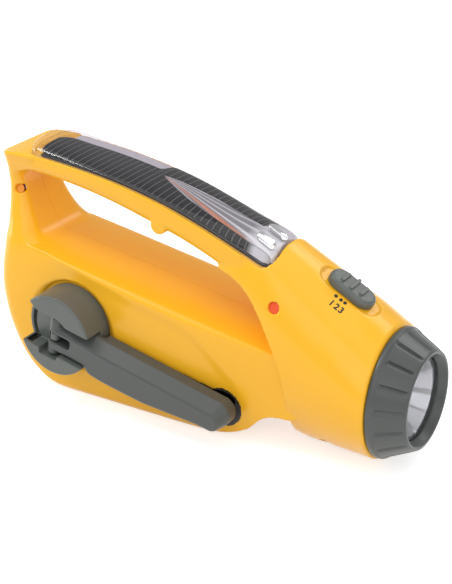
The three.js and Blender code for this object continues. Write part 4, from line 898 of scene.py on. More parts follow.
yellow = material("yellow_shell", (248, 184, 38), 0.25, variation=0.014, grain=0.03, specular_ior_level=0.4)
# Painted shade: red-orange and amber stand for the shaded floors deep in the screw recesses.
plug_orange = material("plug_orange", (232, 84, 36), 0.35, grain=0.1)
plug_amber = material("plug_amber", (236, 146, 34), 0.35, grain=0.1)
# Painted shade: near-black for faces deep in the knob pocket, the finger scoop and the hub's channel, which
# lie in shadow.
painted_recess_shade = material("painted_recess_shade", (34, 30, 26), 0.5, grain=0.3)
grey = material("grey_plastic", (92, 97, 93), 0.36, variation=0.1, grain=0.35, grain_scale=2200)
dark_grey = material("dark_grey_plastic", (74, 78, 76), 0.34, variation=0.1, grain=0.3, grain_scale=2200)
black = material("black_plastic", (24, 25, 27), 0.42, grain=0.3)
steel = material("zinc_steel", (186, 188, 190), 0.26, 1.0, variation=0.12, grain=0.3)
chrome = material("bright_foil", (232, 232, 234), 0.12, 1.0, variation=0.05, grain=0.1)
mirror = material("reflector_coating", (222, 222, 226), 0.12, 1.0, variation=0.03, grain=0.05,
                  grain_scale=500)
copper = material("winding", (176, 92, 42), 0.34, 1.0, grain=0.8, grain_scale=5000)
ferrite = material("ferrite", (54, 54, 56), 0.55, grain=0.6)
acetal = material("acetal", (238, 236, 226), 0.42, subsurface_weight=0.1)
board_green = material("board_green", (24, 98, 52), 0.34, grain=0.3)
print("materials:", len(bpy.data.materials))

# %% [markdown]
# A clear sheet lets light straight through and mirrors more of it the flatter the view, so it is a mix
# of a see-through surface and a glossy one by the Fresnel share. Where it is seen at a flat angle the tint
# deepens, as the light passes more plastic there. A glass that bends the light would be the other way. A
# sheet this thin hardly bends it, so the simple mix is enough.


# %% Clear plastic
def clear_material(name, tint, edge_tint, haze, roughness, index):
    made = material(name, (235, 238, 242), roughness, variation=0.03, grain=0.03)
    tree = made.node_tree
    shader = tree.nodes["Principled BSDF"]
    through_it = tree.nodes.new("ShaderNodeBsdfTransparent")
    facing = tree.nodes.new("ShaderNodeLayerWeight")
    facing.inputs["Blend"].default_value = 0.35
    depth_tint = tree.nodes.new("ShaderNodeMix")
    depth_tint.data_type = "RGBA"
    depth_tint.inputs["A"].default_value = (*tint, 1)
    depth_tint.inputs["B"].default_value = (*edge_tint, 1)
    tree.links.new(facing.outputs["Facing"], depth_tint.inputs["Factor"])
    tree.links.new(depth_tint.outputs["Result"], through_it.inputs["Color"])
    fresnel = tree.nodes.new("ShaderNodeFresnel")
    fresnel.inputs["IOR"].default_value = index
    front_side = maths(tree, "SUBTRACT", 1.0, tree.nodes.new("ShaderNodeNewGeometry").outputs["Backfacing"])
    share = maths(tree, "MULTIPLY", maths(tree, "ADD", fresnel.outputs[0], haze), front_side)
    mix = tree.nodes.new("ShaderNodeMixShader")
    gloss = tree.nodes.new("ShaderNodeBsdfGlossy")
    gloss.inputs["Roughness"].default_value = roughness
    hazed = tree.nodes.new("ShaderNodeMixShader")
    hazed.inputs[0].default_value = 0.12
    tree.links.new(share, mix.inputs[0])
    tree.links.new(gloss.outputs[0], hazed.inputs[1])
    tree.links.new(shader.outputs[0], hazed.inputs[2])
    tree.links.new(through_it.outputs[0], mix.inputs[1])
    tree.links.new(hazed.outputs[0], mix.inputs[2])
    tree.links.new(mix.outputs[0], tree.nodes["Material Output"].inputs["Surface"])
    return made


def dress(obj, body, slot, look, *stands_for):
    """Gives a piece its finish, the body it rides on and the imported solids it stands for."""
    obj.data.materials.clear()
    obj.data.materials.append(look)
    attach(obj, body)
    if stands_for:
        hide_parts(*stands_for)
    return obj


clear = clear_material("clear_cover", (0.985, 0.985, 0.99), (0.86, 0.835, 0.86), 0.03, 0.08, 1.38)
clear_lens = clear_material("clear_lens", (0.96, 0.965, 0.97), (0.6, 0.6, 0.62), 0.05, 0.04, 1.4)
lamp_resin = material("lamp_resin", (226, 230, 226), 0.1, transmission_weight=0.6)
print("clear finishes:", clear.name, clear_lens.name)

# %% [markdown]
# ## Painted shade in the recesses
# The knob pocket and the finger scoop get their shade painted in. A near-black finish on their faces shows
# as the black crescent round the arm's tip, where the recesses lie in shadow. The painted shade could be a
# thin cup of its own. Here it is a second finish on those faces of the near shell that lie inside the two
# cuts, so no cup can stand off the wall.

# %% Shell finishes and the painted shade in the recesses
for obj in (right_shell, left_shell):
    obj.data.materials.clear()
    obj.data.materials.append(yellow)
right_shell.data.materials.append(painted_recess_shade)
arm_inverse = np.linalg.inv(arm_frame)
centres = np.empty(len(right_shell.data.polygons) * 3)
right_shell.data.polygons.foreach_get("center", centres)
centres = centres.reshape(-1, 3) / MM
by_arm = centres @ arm_inverse[:3, :3].T + arm_inverse[:3, 3]
scoop_u, scoop_v = by_arm[:, 0] - scoop_middle[0], by_arm[:, 1] - scoop_middle[1]
pocket_u, pocket_v = by_arm[:, 0] - knob_pivot[0], by_arm[:, 1] - knob_pivot[1]
out_from_middle = by_arm[:, 2]
under_skin = out_from_middle < body_half_width - 0.9
in_scoop = (np.hypot(scoop_u, scoop_v) < scoop_radius - 0.1) & under_skin & (out_from_middle > 20)
in_pocket = (np.abs(pocket_v) < 5.2) & (pocket_u > -26.4) & (pocket_u < 6.2) & under_skin
indices = (in_scoop | (in_pocket & (out_from_middle > 3))).astype(int)
right_shell.data.polygons.foreach_set("material_index", indices)
print("lined faces:", int(indices.sum()))

# %% [markdown]
# ## Hub, arm and knob
# The crank is grey satin plastic. The hub is a thick disc with a channel across its face for the folded
# arm, and a knuckle that carries the hinge pin. It could be modelled face by face. Here a drum is turned,
# the channel is cut into it, and the parts that stand up in the channel are joined on.

# %% Crank hub
channel_rows = [(-1.3, -0.5), (-0.375, -0.5), (-0.345, -0.63), (0.14, -0.63), (0.17, -0.5), (1.3, -0.5),
                (1.3, 0.36), (0.3, 0.36), (0.08, 0.475), (-0.56, 0.475), (-0.8, 0.63), (-1.3, 0.8)]
channel_floor = hub_face - 10.5
hinge = (-2, -1.8, arm_outer - 3)
pin_radius = 1.4
knuckle_v = -2.45


def block_by_arm(name, u_low, u_high, v_low, v_high, low, high):
    """A straight block along the arm."""
    outline = [(u_low, v_low), (u_high, v_low), (u_high, v_high), (u_low, v_high)]
    return slab(name, outline, low, high, arm_frame)


def along_v(name, u, v, w, radius, half, sides=40):
    """A cylinder along the arm's width."""
    turn_over = arm_frame @ placing([(1, 0, 0), (0, 0, -1), (0, 1, 0)], (u, v, w))
    return turned(name, [(0, -half), (radius, -half), (radius, half), (0, half)], sides, turn_over)


def crank_hub():
    edge = 1.0
    corner = [(hub_radius - edge + x, hub_face - edge + y) for x, y in arc(0, 0, edge, 0, 90, 5)]
    drum = turned("hub", [(0, hub_base), (hub_radius, hub_base), *corner, (0, hub_face)], 160, arm_frame)
    outline = [(u * hub_radius, v * hub_radius) for u, v in channel_rows]
    drum = combine(drum, "DIFFERENCE", slab("channel", outline, channel_floor, 60, arm_frame))
    lower, rim_top = channel_floor - 1, 32.2
    boss_side = [(0, lower), (16.1, lower), (16.1, 31.9), (15.9, rim_top), (0, rim_top)]
    boss = turned("boss", boss_side, 96, arm_frame)
    boss = combine(boss, "INTERSECT", block_by_arm("boss_part", -20, -7.5, -9.9, 14, 0, 60))
    wall_side = [(18, lower), (19.5, lower), (19.5, 32.0), (19.3, rim_top), (18.2, rim_top), (18, 32.0)]
    rim_wall = turned("rim_wall", wall_side, 160, arm_frame)
    rim_wall = combine(rim_wall, "INTERSECT", block_by_arm("rim_part", -21, -8, -9.9, 14, 0, 60))
    drum = combine(drum, "UNION", boss, rim_wall)
    drum = combine(drum, "DIFFERENCE", block_by_arm("rim_slot", -15.5, -12.4, -11.1, -9, 31.4, 38.6))
    lug_radius, lug_foot = 2.3, channel_floor - hinge[2] - 1
    lug_side = [(lug_radius, lug_foot), *arc(0, 0, lug_radius, 0, 180, 16), (-lug_radius, lug_foot)]
    lug = slab("lug", lug_side, -1.9, 1.9, arm_frame @ side_placed(hinge[0], hinge[2], knuckle_v))
    square = block_by_arm("square", -3.3, 3.3, -3.3, 3.3, boss_inner - 7.2, hub_base)
    spindle_foot, spindle_top = boss_inner - 0.8, hub_base + 1
    spindle_side = [(0, spindle_foot), (5, spindle_foot), (5, spindle_top), (0, spindle_top)]
    drum = combine(drum, "UNION", lug, turned("spindle", spindle_side, 64, arm_frame), square)
    drum = combine(drum, "DIFFERENCE", along_v("pin_bore", *hinge, pin_radius, 13.0))
    return rounded(drum, 0.24, 5)


hub_piece = smooth_shaded(crank_hub(), 50)
hub_piece.name = "hub_body"
dress(hub_piece, "crank", "grip", grey, "crank_hub")
# Painted shade: the slot in the rim wall and the groove round the boss get the near-black finish, as they
# lie in shadow.
hub_piece.data.materials.append(painted_recess_shade)
for face in hub_piece.data.polygons:
    u, v, w = arm_inverse[:3, :3] @ (np.array(face.center) / MM) + arm_inverse[:3, 3]
    in_slot = -15.8 < u < -12.1 and -11.5 < v < -9.9 and 31.2 < w < 38.9
    in_groove = u < -8 and 16.3 < math.hypot(u, v) < 17.8 and v > -9.6 and w < 31.8 and w > 29
    face.material_index = 1 if in_slot or in_groove else 0
print("hub faces:", len(hub_piece.data.polygons))

# %% [markdown]
# The arm is a long shell, flat outside with a wide slope on its upper side, hollow underneath and slotted
# at its root for the knuckle. It could be pulled from a block edge by edge. Here it is skinned over level
# outlines from its inner face out, so the slope is part of the skin, and hollowed by a second such skin.

# %% Crank arm
arm_length = 91
arm_half = 8.7
arm_edge_rows = [(-0.022, -1.06, 0.73), (0.182, -1.06, 0.71), (0.225, -1.39, 0.65), (0.5275, -1.39, 0.63),
                 (0.643, -1.25, 0.62), (0.758, -1.08, 0.61), (0.86, -0.93, 0.6)]
tip_radius = 6.7
tip_offset = -1.3


def arm_ring(low_inset, high_inset, w, start, steps=46):
    low_rows = [(share * arm_length, low) for share, low, _ in arm_edge_rows]
    high_rows = [(share * arm_length, high) for share, _, high in arm_edge_rows]
    places = np.linspace(start, low_rows[-1][0], steps)
    low = [(u, through(low_rows, u) * arm_half + low_inset, w) for u in places]
    high = [(u, through(high_rows, u) * arm_half - high_inset, w) for u in places]
    radius = tip_radius - (low_inset + high_inset) / 2
    middle = tip_offset + (low_inset - high_inset) / 2
    tip = [(u, v, w) for u, v in arc(arm_length - tip_radius, middle, radius, -80, 80, 24)]
    return low + tip + high[::-1]


def crank_arm():
    root = hinge[0]
    levels = [(0, 0, arm_inner), (0, 0.1, arm_inner + 1.5), (0.05, 0.4, arm_inner + 5.4),
              (0.2, 4.1, arm_outer - 0.9), (0.5, 4.5, arm_outer - 0.3), (1.1, 5.1, arm_outer)]
    block = skin("arm", [arm_ring(a, b, w, root) for a, b, w in levels], arm_frame)
    under = [(1.5, 1.5, arm_inner - 1), (1.5, 1.6, arm_inner + 1.5), (1.7, 5.4, arm_outer - 1.6)]
    hollow_start = 23
    hollow = skin("hollow", [arm_ring(a, b, w, hollow_start) for a, b, w in under], arm_frame)
    root_cut = block_by_arm("root_cut", -20, 21.5, -20, 20, arm_inner - 1, arm_outer - 8.2)
    block = combine(block, "DIFFERENCE", hollow, root_cut)
    block = combine(block, "UNION", along_v("eye", *hinge, 3, 9.6))
    slot = slab("slot", rounded_box(0, knuckle_v, 8, 2.5, 1.2, 6), channel_floor, 60, arm_frame)
    block = combine(block, "DIFFERENCE", slot, along_v("pin_bore", *hinge, pin_radius, 18))
    return rounded(block, 0.4, 4)


arm_piece = smooth_shaded(crank_arm(), 50)
arm_piece.name = "arm_body"
dress(arm_piece, "arm", "grip", dark_grey, "crank_arm")
print("arm faces:", len(arm_piece.data.polygons))

# %% [markdown]
# The knob is a hollow sleeve with fine round ribs, which turns on its post. It is round all along, so one
# profile turned about its axis is enough, where a mesh pulled from a cylinder would need every rib by hand.


# %% Turning knob
def crank_knob():
    inner, neck, length, radius = 1.5, 4.4, 23.4, 3.5
    rib_height, rib_pitch = 0.12, 2.6
    outer = [(radius - 0.8, neck)]
    for z in np.linspace(neck + 0.8, length - 0.8, 60):
        swell = rib_height * math.cos((z - neck) * 2 * math.pi / rib_pitch)
        outer.append((radius - rib_height + swell, z))
    end = length - 1.2
    profile = [(inner, neck), *outer, (radius - 0.4, length), (2.5, length), (2.5, end), (inner, end)]
    lie_down = arm_frame @ placing([(0, 0, 1), (0, 1, 0), (-1, 0, 0)], knob_pivot)
    return turned("knob_sleeve", profile, 64, lie_down)


knob_piece = smooth_shaded(crank_knob(), 35)
dress(knob_piece, "knob", "grip", grey, "crank_knob")
print("knob faces:", len(knob_piece.data.polygons))

# %% [markdown]
# ## The lens ring, lens and reflector
# The ring is one turned grey moulding: a plain band behind, then a cone cut by sixteen narrow grooves for
# the fingers, a rounded front edge and a dark lip. The grooves could be cut with sixteen wedges. It is
# cleaner to draw each point of the turned skin inwards by the groove's depth there, with one flank steeper.

# %% Lens ring with its grooves
band = [(22.8, -6), (26.1, -6), (26.1, 0.3), (28.1, 0.3), (28.5, 0.5), (28.7, 0.9), (28.7, 2.2),
        (28.5, 2.7), (27.8, 3.2)]
cone_rear, cone_front, cone_length = 27.75, 21.9, 11.7
cone_places = np.linspace(3.6, 14.9, 34)
cone = [(cone_rear - (cone_rear - cone_front) * (z - 3.4) / cone_length, z) for z in cone_places]
lip = [(21.75, 15.3), (21.5, 15.65), (21.1, 15.8), (20.5, 15.8), (20.1, 15.65), (19.85, 15.3),
       (18.35, 12.7), (18.2, 12.5), (18.2, 11.8), (21.3, 11.8), (21.3, 8.3), (22.8, 6.7)]
ring_outline = [*band, *cone, *lip]
grooves = 16
sides = grooves * 24
groove_start, groove_end = 3.5, 15.2
groove_reach = 1.05


def groove_depth(angle, z):
    if z < groove_start or z > groove_end:
        return 0.0
    along = (z - groove_start) / cone_length
    fade = min(along * 20, 1.0) * min((1 - along) * 5, 1.0) ** 0.7
    pitch = 2 * math.pi / grooves
    mean_radius = 25.0
    offset = ((angle + pitch / 2) % pitch - pitch / 2) * mean_radius
    sharp, gentle = 0.4, 2.4
    share = max(1 - abs(offset) / (sharp if offset < 0 else gentle), 0.0)
    share = share * share * (3 - 2 * share)
    return groove_reach * fade * share


def lens_ring():
    places, faces = [], []
    count = len(ring_outline)
    for k in range(sides):
        angle = 2 * math.pi * k / sides
        for n, (radius, z) in enumerate(ring_outline):
            outer = len(band) <= n < len(band) + len(cone)
            reach = radius - (groove_depth(angle - math.pi / grooves, z) if outer else 0)
            places.append((reach * math.cos(angle), reach * math.sin(angle), z))
    for k in range(sides):
        here, there = k * count, ((k + 1) % sides) * count
        for n in range(count):
            m = (n + 1) % count
            faces.append((here + n, there + n, there + m, here + m))
    return new_piece("lens_ring", places, faces, head_frame)


ring_piece = smooth_shaded(lens_ring(), 48)
dress(ring_piece, "housing", "grip", dark_grey, "bezel_ring")
print("ring faces:", len(ring_piece.data.polygons))

# %% [markdown]
# The housing's screws sit deep in round recesses, whose shaded floors look red-orange from light bounced
# inside the yellow plastic. That shade is painted: each recess gets a small orange disc just under the
# surface, slightly domed, with a soft edge. A disc could be cut from the shell's own skin. Here it is a
# turned profile, tilted afterwards to the slope of the skin round it, so it keeps its round soft edge.

# %% Painted shade discs in the screw recesses
# Each row: painted shade colour, radius, the disc's two ends from the screw's seat, and the slope of the
# skin round it.
# The skin slopes or rounds off beside two of them, so the screws there have flat heads deep in the recess.
shade_disc_rows = {
    "rear_screw": (plug_amber, 2.17, 0.05, 0.95, 0.18),
    "head_screw": (plug_orange, 2.57, -1.15, -0.15, 0.36),
    "barrel_screw": (plug_amber, 2.57, 0.05, 1.7, 0.0),
}
for name, (look, radius, low, top, slope) in shade_disc_rows.items():
    x, z, seat, length = screws[name]
    low, top, point = seat + low, seat + top, seat - length
    profile = [(0, low), (radius - 0.08, low), (radius, low + 0.1), (radius, top - 0.45),
               (radius - 0.28, top - 0.22), (radius - 0.58, top - 0.1), (radius / 2, top), (0, top + 0.04)]
    place = side_placed(x, z)
    plug = smooth_shaded(turned(name.replace("screw", "plug"), profile, 48, place), 50)
    for vertex in plug.data.vertices:
        vertex.co.y += slope * (vertex.co.z - z * MM)
    dress(plug, "housing", "shell", look)
    if name != "barrel_screw":
        rim, shank = radius - 0.27, 1.25
        flat = [(0, point), (0.7, point + 0.8), (shank, point + 2.5), (shank, seat - head_height),
                (rim, seat - 1.85), (rim, seat - 1.75), (rim - 0.3, seat - 1.55), (0, seat - 1.5)]
        deep = smooth_shaded(turned(f"{name}_flat", flat, 32, place), 40)
        dress(deep, "housing", "steel", steel, name)
print("plugs:", len(shade_disc_rows))

# %% [markdown]
# Behind the lip sits a low domed lens, and behind that the coated reflector with three small lamps in its
# throat. The dome could be a cap cut from a sphere. Turned profiles do for all of them, each with the edge
# or flange by which it is held.

# %% Lens, reflector and lamps
front = 15.8 - 3.2 - 0.8 - 0.3
lens_radius, lens_edge, lens_rise, lens_thickness = 18.2, 20.9, 1.8, 1.4
turns = np.linspace(math.pi / 2, 0, 24)
dome = [(lens_radius * math.sin(t), front + lens_rise * math.cos(t)) for t in turns]
dome[-1] = (0, front + lens_rise)
lens_back = front - lens_thickness
lens_profile = [(0, lens_back), (lens_edge, lens_back), (lens_edge, front), *dome]
lens_piece = smooth_shaded(turned("lens_window", lens_profile, 128, head_frame), 40)
dress(lens_piece, "housing", "clear", clear_lens, "front_lens")

rim_place = lens_back - 0.3
throat, bowl_mouth, bowl_depth = 7.4, 19, 19
bottom = rim_place - bowl_depth
bowl_rows = [(0, 0), (0.3, 0.2), (0.58, 0.46), (0.82, 0.75), (1, 1)]
bowl = []
for share in np.linspace(0, 1, 40):
    bowl.append((throat + share * (bowl_mouth - throat), bottom + through(bowl_rows, share) * bowl_depth))
outside = [(r + 1, z) for r, z in bowl[:-1]][::-1]
reflector_profile = [*bowl, (21, rim_place), (21, rim_place - 1.2), (19.5, rim_place - 1.2), *outside]
reflector_piece = smooth_shaded(turned("reflector_bowl", reflector_profile, 128, head_frame), 35)
dress(reflector_piece, "housing", "reflector", mirror, "reflector")

lamp_radius, lamp_flange, lamp_height, lamp_circle = 2.5, 2.9, 8.6, 3.5
top = bottom + lamp_height
profile = [(0, bottom), (lamp_flange, bottom), (lamp_flange, bottom + 0.9), (lamp_flange - 0.1, bottom + 1),
           (lamp_radius, bottom + 1.1), (lamp_radius, top - lamp_radius)]
for t in np.linspace(0.1, math.pi / 2, 14):
    profile.append((lamp_radius * math.cos(t), top - lamp_radius + lamp_radius * math.sin(t)))
profile[-1] = (0, top)
for n in range(3):
    angle = 2 * math.pi * n / 3
    place = shifted(head_frame, -lamp_circle * math.cos(angle), lamp_circle * math.sin(angle))
    lamp = smooth_shaded(turned(f"lamp_dome_{n + 1}", profile, 40, place), 40)
    dress(lamp, "housing", "lamp", lamp_resin, f"lamp_{n + 1}")
print("lens, reflector and lamps:", len(lens_piece.data.polygons), len(reflector_piece.data.polygons))

# %% [markdown]
# ## The solar top
# A clear arched cover closes the top of the handle from the rear shoulder down to the head. Under it lie
# the dark cells with their fine collecting lines, and a bright ribbed strip that widens towards the
# front. The arch is one family of curves, so cover, cells and strip are the same skin at other depths.

# %% Arch of the cover at any depth
crest_rows = [(0.08, 1.064), (0.11, 1.051), (0.19, 1.0289), (0.26, 1.008), (0.315, 0.9902), (0.39, 0.9646),
              (0.48, 0.9251), (0.609, 0.868), (0.69, 0.8406), (0.743, 0.8084)]
arch_rows = [(0.1, 2.6), (0.5, 2.4), (0.65, 1.9), (0.743, 1.7)]
cover_end_radius = 3.4
cover_thickness = 1.4
panel_depth = 2.6
cover_foot = 0.3 - bed_depth


def arch_ring(x, depth, foot_rise, sides):
    start, end = at_share(cover_rear_share) + depth, at_share(cover_front_share) - depth
    radius = cover_corner - depth
    lack = max(radius - min(x - start, end - x), 0)
    half = cover_half - depth - radius + math.sqrt(max(radius**2 - lack**2, 0))
    rear_lack = min(max(cover_end_radius - (x - start), 0) / cover_end_radius, 1)
    rise = math.sqrt(1 - rear_lack**2)
    rim = rim_at(x)
    height = (through(crest_rows, share_of(x)) * body_height - depth - rim) * (rise + (1 - rise) * 0.12)
    power = 2 / through(arch_rows, share_of(x))
    ring = [(x, half, rim + foot_rise)]
    for k in range(sides + 1):
        angle = math.pi * k / sides
        across_share = math.copysign(abs(math.cos(angle)) ** power, math.cos(angle))
        up = height * max(math.sin(angle), 0) ** power
        ring.append((x, half * across_share, rim + max(up, foot_rise + 0.002)))
    ring.append((x, -half, rim + foot_rise))
    return ring


def arch(name, depth, foot_rise, sides=72):
    start, end = at_share(cover_rear_share) + depth, at_share(cover_front_share) - depth
    radius = cover_corner - depth
    bend = [radius * (1 - math.cos(math.pi / 2 * k / 18)) for k in range(19)]
    middle = np.linspace(start + radius, end - radius, 70)[1:-1]
    places = [start + b for b in bend] + list(middle) + [end - b for b in reversed(bend)]
    return skin(name, [arch_ring(x, depth, foot_rise, sides) for x in places])


print("points in a section of the arch:", len(arch_ring(0, 0, cover_foot, 72)))

# %% [markdown]
# The clear cover is a thin arched shell with a small soft rim, as it would come from a mould. It could be a
# sheet given a thickness. Here one arch is cut from another, so its wall is even and its foot flat.

# %% Clear cover
cover_shell = arch("cover", 0, cover_foot)
cover_shell = combine(cover_shell, "DIFFERENCE", arch("cover_inside", cover_thickness, cover_foot - 1))
cover_piece = smooth_shaded(cover_shell, 42)
soft_rim = cover_piece.modifiers.new("rim", "BEVEL")
soft_rim.width = 0.35 * MM
soft_rim.segments = 3
soft_rim.angle_limit = math.radians(50)
soft_rim.harden_normals = True
bake(cover_piece)
cover_piece.name = "cover_glass"
dress(cover_piece, "housing", "clear", clear, "solar_cover")
print("cover faces:", len(cover_piece.data.polygons))

# %% [markdown]
# Two small bright raised lozenges stand on the cover near its front. A plain block pushed through the
# cover would stand too high on one side. Each ring of the lozenge is laid on the arch at another height,
# so it follows the curve.

# %% Bright lozenges near the cover's front
lozenge_rows = [(0.706, -0.476, 4.4, -6), (0.713, -0.018, 4.8, -12)]
for n, (share, side_share, half_long, turn_by) in enumerate(lozenge_rows):
    x, y = at_share(share), side_share * cover_half
    cos_turn, sin_turn = math.cos(math.radians(turn_by)), math.sin(math.radians(turn_by))
    rings = []
    for inset, rise in ((0, -0.5), (0, 0.35), (0.12, 0.62), (0.35, 0.82), (0.7, 0.9)):
        plan = rounded_box(0, 0, half_long - inset, 1.9 - inset, 1.9 - inset - 1e-3, 12)
        ring = []
        for a, b in plan:
            px, py = x + a * cos_turn - b * sin_turn, y + a * sin_turn + b * cos_turn
            spot = np.array(arch_ring(px, 0, cover_foot, 120))
            surface = np.interp(py, spot[1:-1, 1][::-1], spot[1:-1, 2][::-1])
            ring.append((px, py, surface + rise))
        rings.append(ring)
    lozenge = smooth_shaded(skin(f"lozenge_{n + 1}", rings), 50)
    dress(lozenge, "housing", "strip", chrome)
print("lozenges:", len(lozenge_rows))

# %% [markdown]
# The cells are nearly black. They are fairly matt, as the gloss comes from the cover over them. Fine pale
# lines cross them about three millimetres apart, and at the front they end in a pale frosted fade. The
# lines could be thin modelled wires. They belong to the surface, so the material draws them from the place
# along the handle.


# %% Cell material
def placed_in(tree):
    """The place in the object's own space, by its three parts."""
    place = tree.nodes.new("ShaderNodeSeparateXYZ")
    tree.links.new(tree.nodes.new("ShaderNodeTexCoord").outputs["Object"], place.inputs[0])
    return place.outputs


def blended(tree, factor, first, second):
    """A blend of two colours, each given as the eye sees it or as the result of another node."""
    mix = tree.nodes.new("ShaderNodeMix")
    mix.data_type = "RGBA"
    for label, color in (("A", first), ("B", second)):
        if isinstance(color, tuple):
            mix.inputs[label].default_value = (*linear(color), 1)
        else:
            tree.links.new(color, mix.inputs[label])
    tree.links.new(factor, mix.inputs["Factor"])
    return mix.outputs["Result"]


def based_on(tree, color):
    tree.links.new(color, tree.nodes["Principled BSDF"].inputs["Base Color"])


def stripe(tree, value, pitch, share, offset=0.0):
    """1 on a narrow stripe at each pitch, 0 between, with soft edges."""
    spot = maths(tree, "MULTIPLY_ADD", value, 1 / pitch)
    spot.node.inputs[2].default_value = offset + 1000
    step = maths(tree, "FRACT", spot, 0)
    off = maths(tree, "ABSOLUTE", maths(tree, "SUBTRACT", step, 0.5), 0)
    return mapped(tree, off, share / 2, share / 2 * 1.7, 1.0, 0.0)


cells = material("solar_cells", (26, 26, 30), 0.4, variation=0.02, grain=0.0, specular_ior_level=0.1)
tree = cells.node_tree
along_handle = placed_in(tree)["X"]
line_pitch = 0.0031
lines = maths(tree, "MULTIPLY", stripe(tree, along_handle, line_pitch, 0.07), 0.6)
cells_end = mapped(tree, along_handle, at_share(0.672) * MM, at_share(0.69) * MM, 0.0, 1.0)
lined = blended(tree, lines, (27, 27, 31), (150, 148, 142))
based_on(tree, blended(tree, cells_end, lined, (205, 203, 208)))
print("cell material nodes:", len(tree.nodes))

# %% [markdown]
# The bright strip carries ribs that fan out from its narrow end, so they follow the angle about that end.
# They could be modelled one by one. The material draws them instead and a slight bump gives them relief,
# as they are too fine to show in the outline. Along one edge a warm band is a painted reflection of the
# yellow shell.

# %% Ribbed strip material, with a painted reflection
strip_foil = material("ribbed_foil", (200, 198, 202), 0.26, 0.2, variation=0.06, grain=0.1)
tree = strip_foil.node_tree
place = placed_in(tree)
tip_x, tip_y = at_share(0.375) * MM, 5.2 * MM
from_tip_x, from_tip_y = (maths(tree, "SUBTRACT", place[a], b) for a, b in (("X", tip_x), ("Y", tip_y)))
fan = maths(tree, "DIVIDE", from_tip_y, from_tip_x)
dark_ribs = stripe(tree, fan, 0.085, 0.5)
fine_ribs = stripe(tree, fan, 0.031, 0.4, 0.2)
front_fade = mapped(tree, place["X"], at_share(0.655) * MM, at_share(0.69) * MM, 1.0, 0.0)
deeper, finer = maths(tree, "MULTIPLY", dark_ribs, 0.9), maths(tree, "MULTIPLY", fine_ribs, 0.45)
darkness = maths(tree, "MULTIPLY", maths(tree, "MAXIMUM", deeper, finer), front_fade)
ribbed = blended(tree, darkness, (232, 230, 234), (132, 130, 134))
# Painted reflection: a warm band along one edge stands for the yellow shell mirrored in the strip.
above_edge = mapped(tree, fan, -0.305, -0.275, 1.0, 0.0)
below_edge = mapped(tree, fan, -0.37, -0.345, 0.0, 1.0)
reflection_band = maths(tree, "MULTIPLY", above_edge, below_edge)
painted_shell_reflection = maths(tree, "MULTIPLY", reflection_band, maths(tree, "MULTIPLY", front_fade, 0.8))
based_on(tree, blended(tree, painted_shell_reflection, ribbed, (224, 138, 96)))
rib_bump = tree.nodes.new("ShaderNodeBump")
rib_bump.inputs["Distance"].default_value = 0.0003
rib_bump.inputs["Strength"].default_value = 0.7
tree.links.new(dark_ribs, rib_bump.inputs["Height"])
tree.links.new(rib_bump.outputs["Normal"], tree.nodes["Principled BSDF"].inputs["Normal"])
print("strip material nodes:", len(tree.nodes))

# %% [markdown]
# The cells are one arched sheet, low and narrow behind and close under the cover in front. The strip lies
# in a gap cut through the sheet to the strip's own plan, a little wider all round. Both could lie in two
# layers. Side by side they can't flicker through each other.

# %% Cells and strip under the cover
strip_rows = [(0.401, 0.27), (0.413, 0.12), (0.459, -0.17), (0.501, -0.37), (0.547, -0.53), (0.591, -0.63),
              (0.634, -0.72), (0.667, -0.79), (0.7, -0.8), (0.76, -0.8), (0.76, 0.98), (0.708, 0.98),
              (0.692, 0.6), (0.672, 0.05), (0.601, 0.3), (0.544, 0.39), (0.49, 0.42), (0.438, 0.38)]
strip_half = cover_half - panel_depth


def grown(outline, margin):
    """The outline moved outwards by a margin."""
    spots = np.array(outline)
    turn_back = spots - np.roll(spots, 1, axis=0)
    turn_on = np.roll(spots, -1, axis=0) - spots
    normals = []
    for a, b in zip(turn_back, turn_on):
        a, b = a / np.hypot(*a), b / np.hypot(*b)
        n = np.array([a[1] + b[1], -a[0] - b[0]])
        cosine = math.sqrt(max((1 + a @ b) / 2, 0.2))
        normals.append(n / np.hypot(*n) / cosine)
    return spots + margin * np.array(normals)


strip_plan = [(at_share(a), b * strip_half) for a, b in strip_rows]
low_sheet = panel_depth + 1
cell_rear = at_share(0.112)
cell_corner = 5


def cell_ring(x, sides=60):
    """Section of the cell sheet: low and narrow at the far side behind, close under the cover in front."""
    share = share_of(x)
    front_way = soft_step((share - 0.372) / 0.02)
    deep = arch_ring(x, panel_depth, 0.7, 2)
    near, wide = -deep[0][1], arch_ring(x, 1.6, 0.7, 2)[0][1]
    lack = max(cell_corner - (x - cell_rear), 0)
    far = 8.7 - cell_corner + math.sqrt(max(cell_corner**2 - lack**2, 0))
    far += front_way * (wide - far)
    near *= 1 - 0.03 * lack
    rim, power = rim_at(x), 2 / through(arch_rows, share)
    crest = through(crest_rows, share) * body_height
    height = max(crest - (panel_depth - front_way) - rim, 0.9)
    top = []
    for k in range(sides + 1):
        angle = math.pi * k / sides
        reach = far if k < sides / 2 else -near
        y = reach * math.copysign(abs(math.cos(angle)) ** power, math.cos(angle))
        top.append((x, y, rim + max(height * max(math.sin(angle), 0) ** power, 0.72)))
    return top + [(x, y * 0.955, z - 0.6) for _, y, z in reversed(top)]


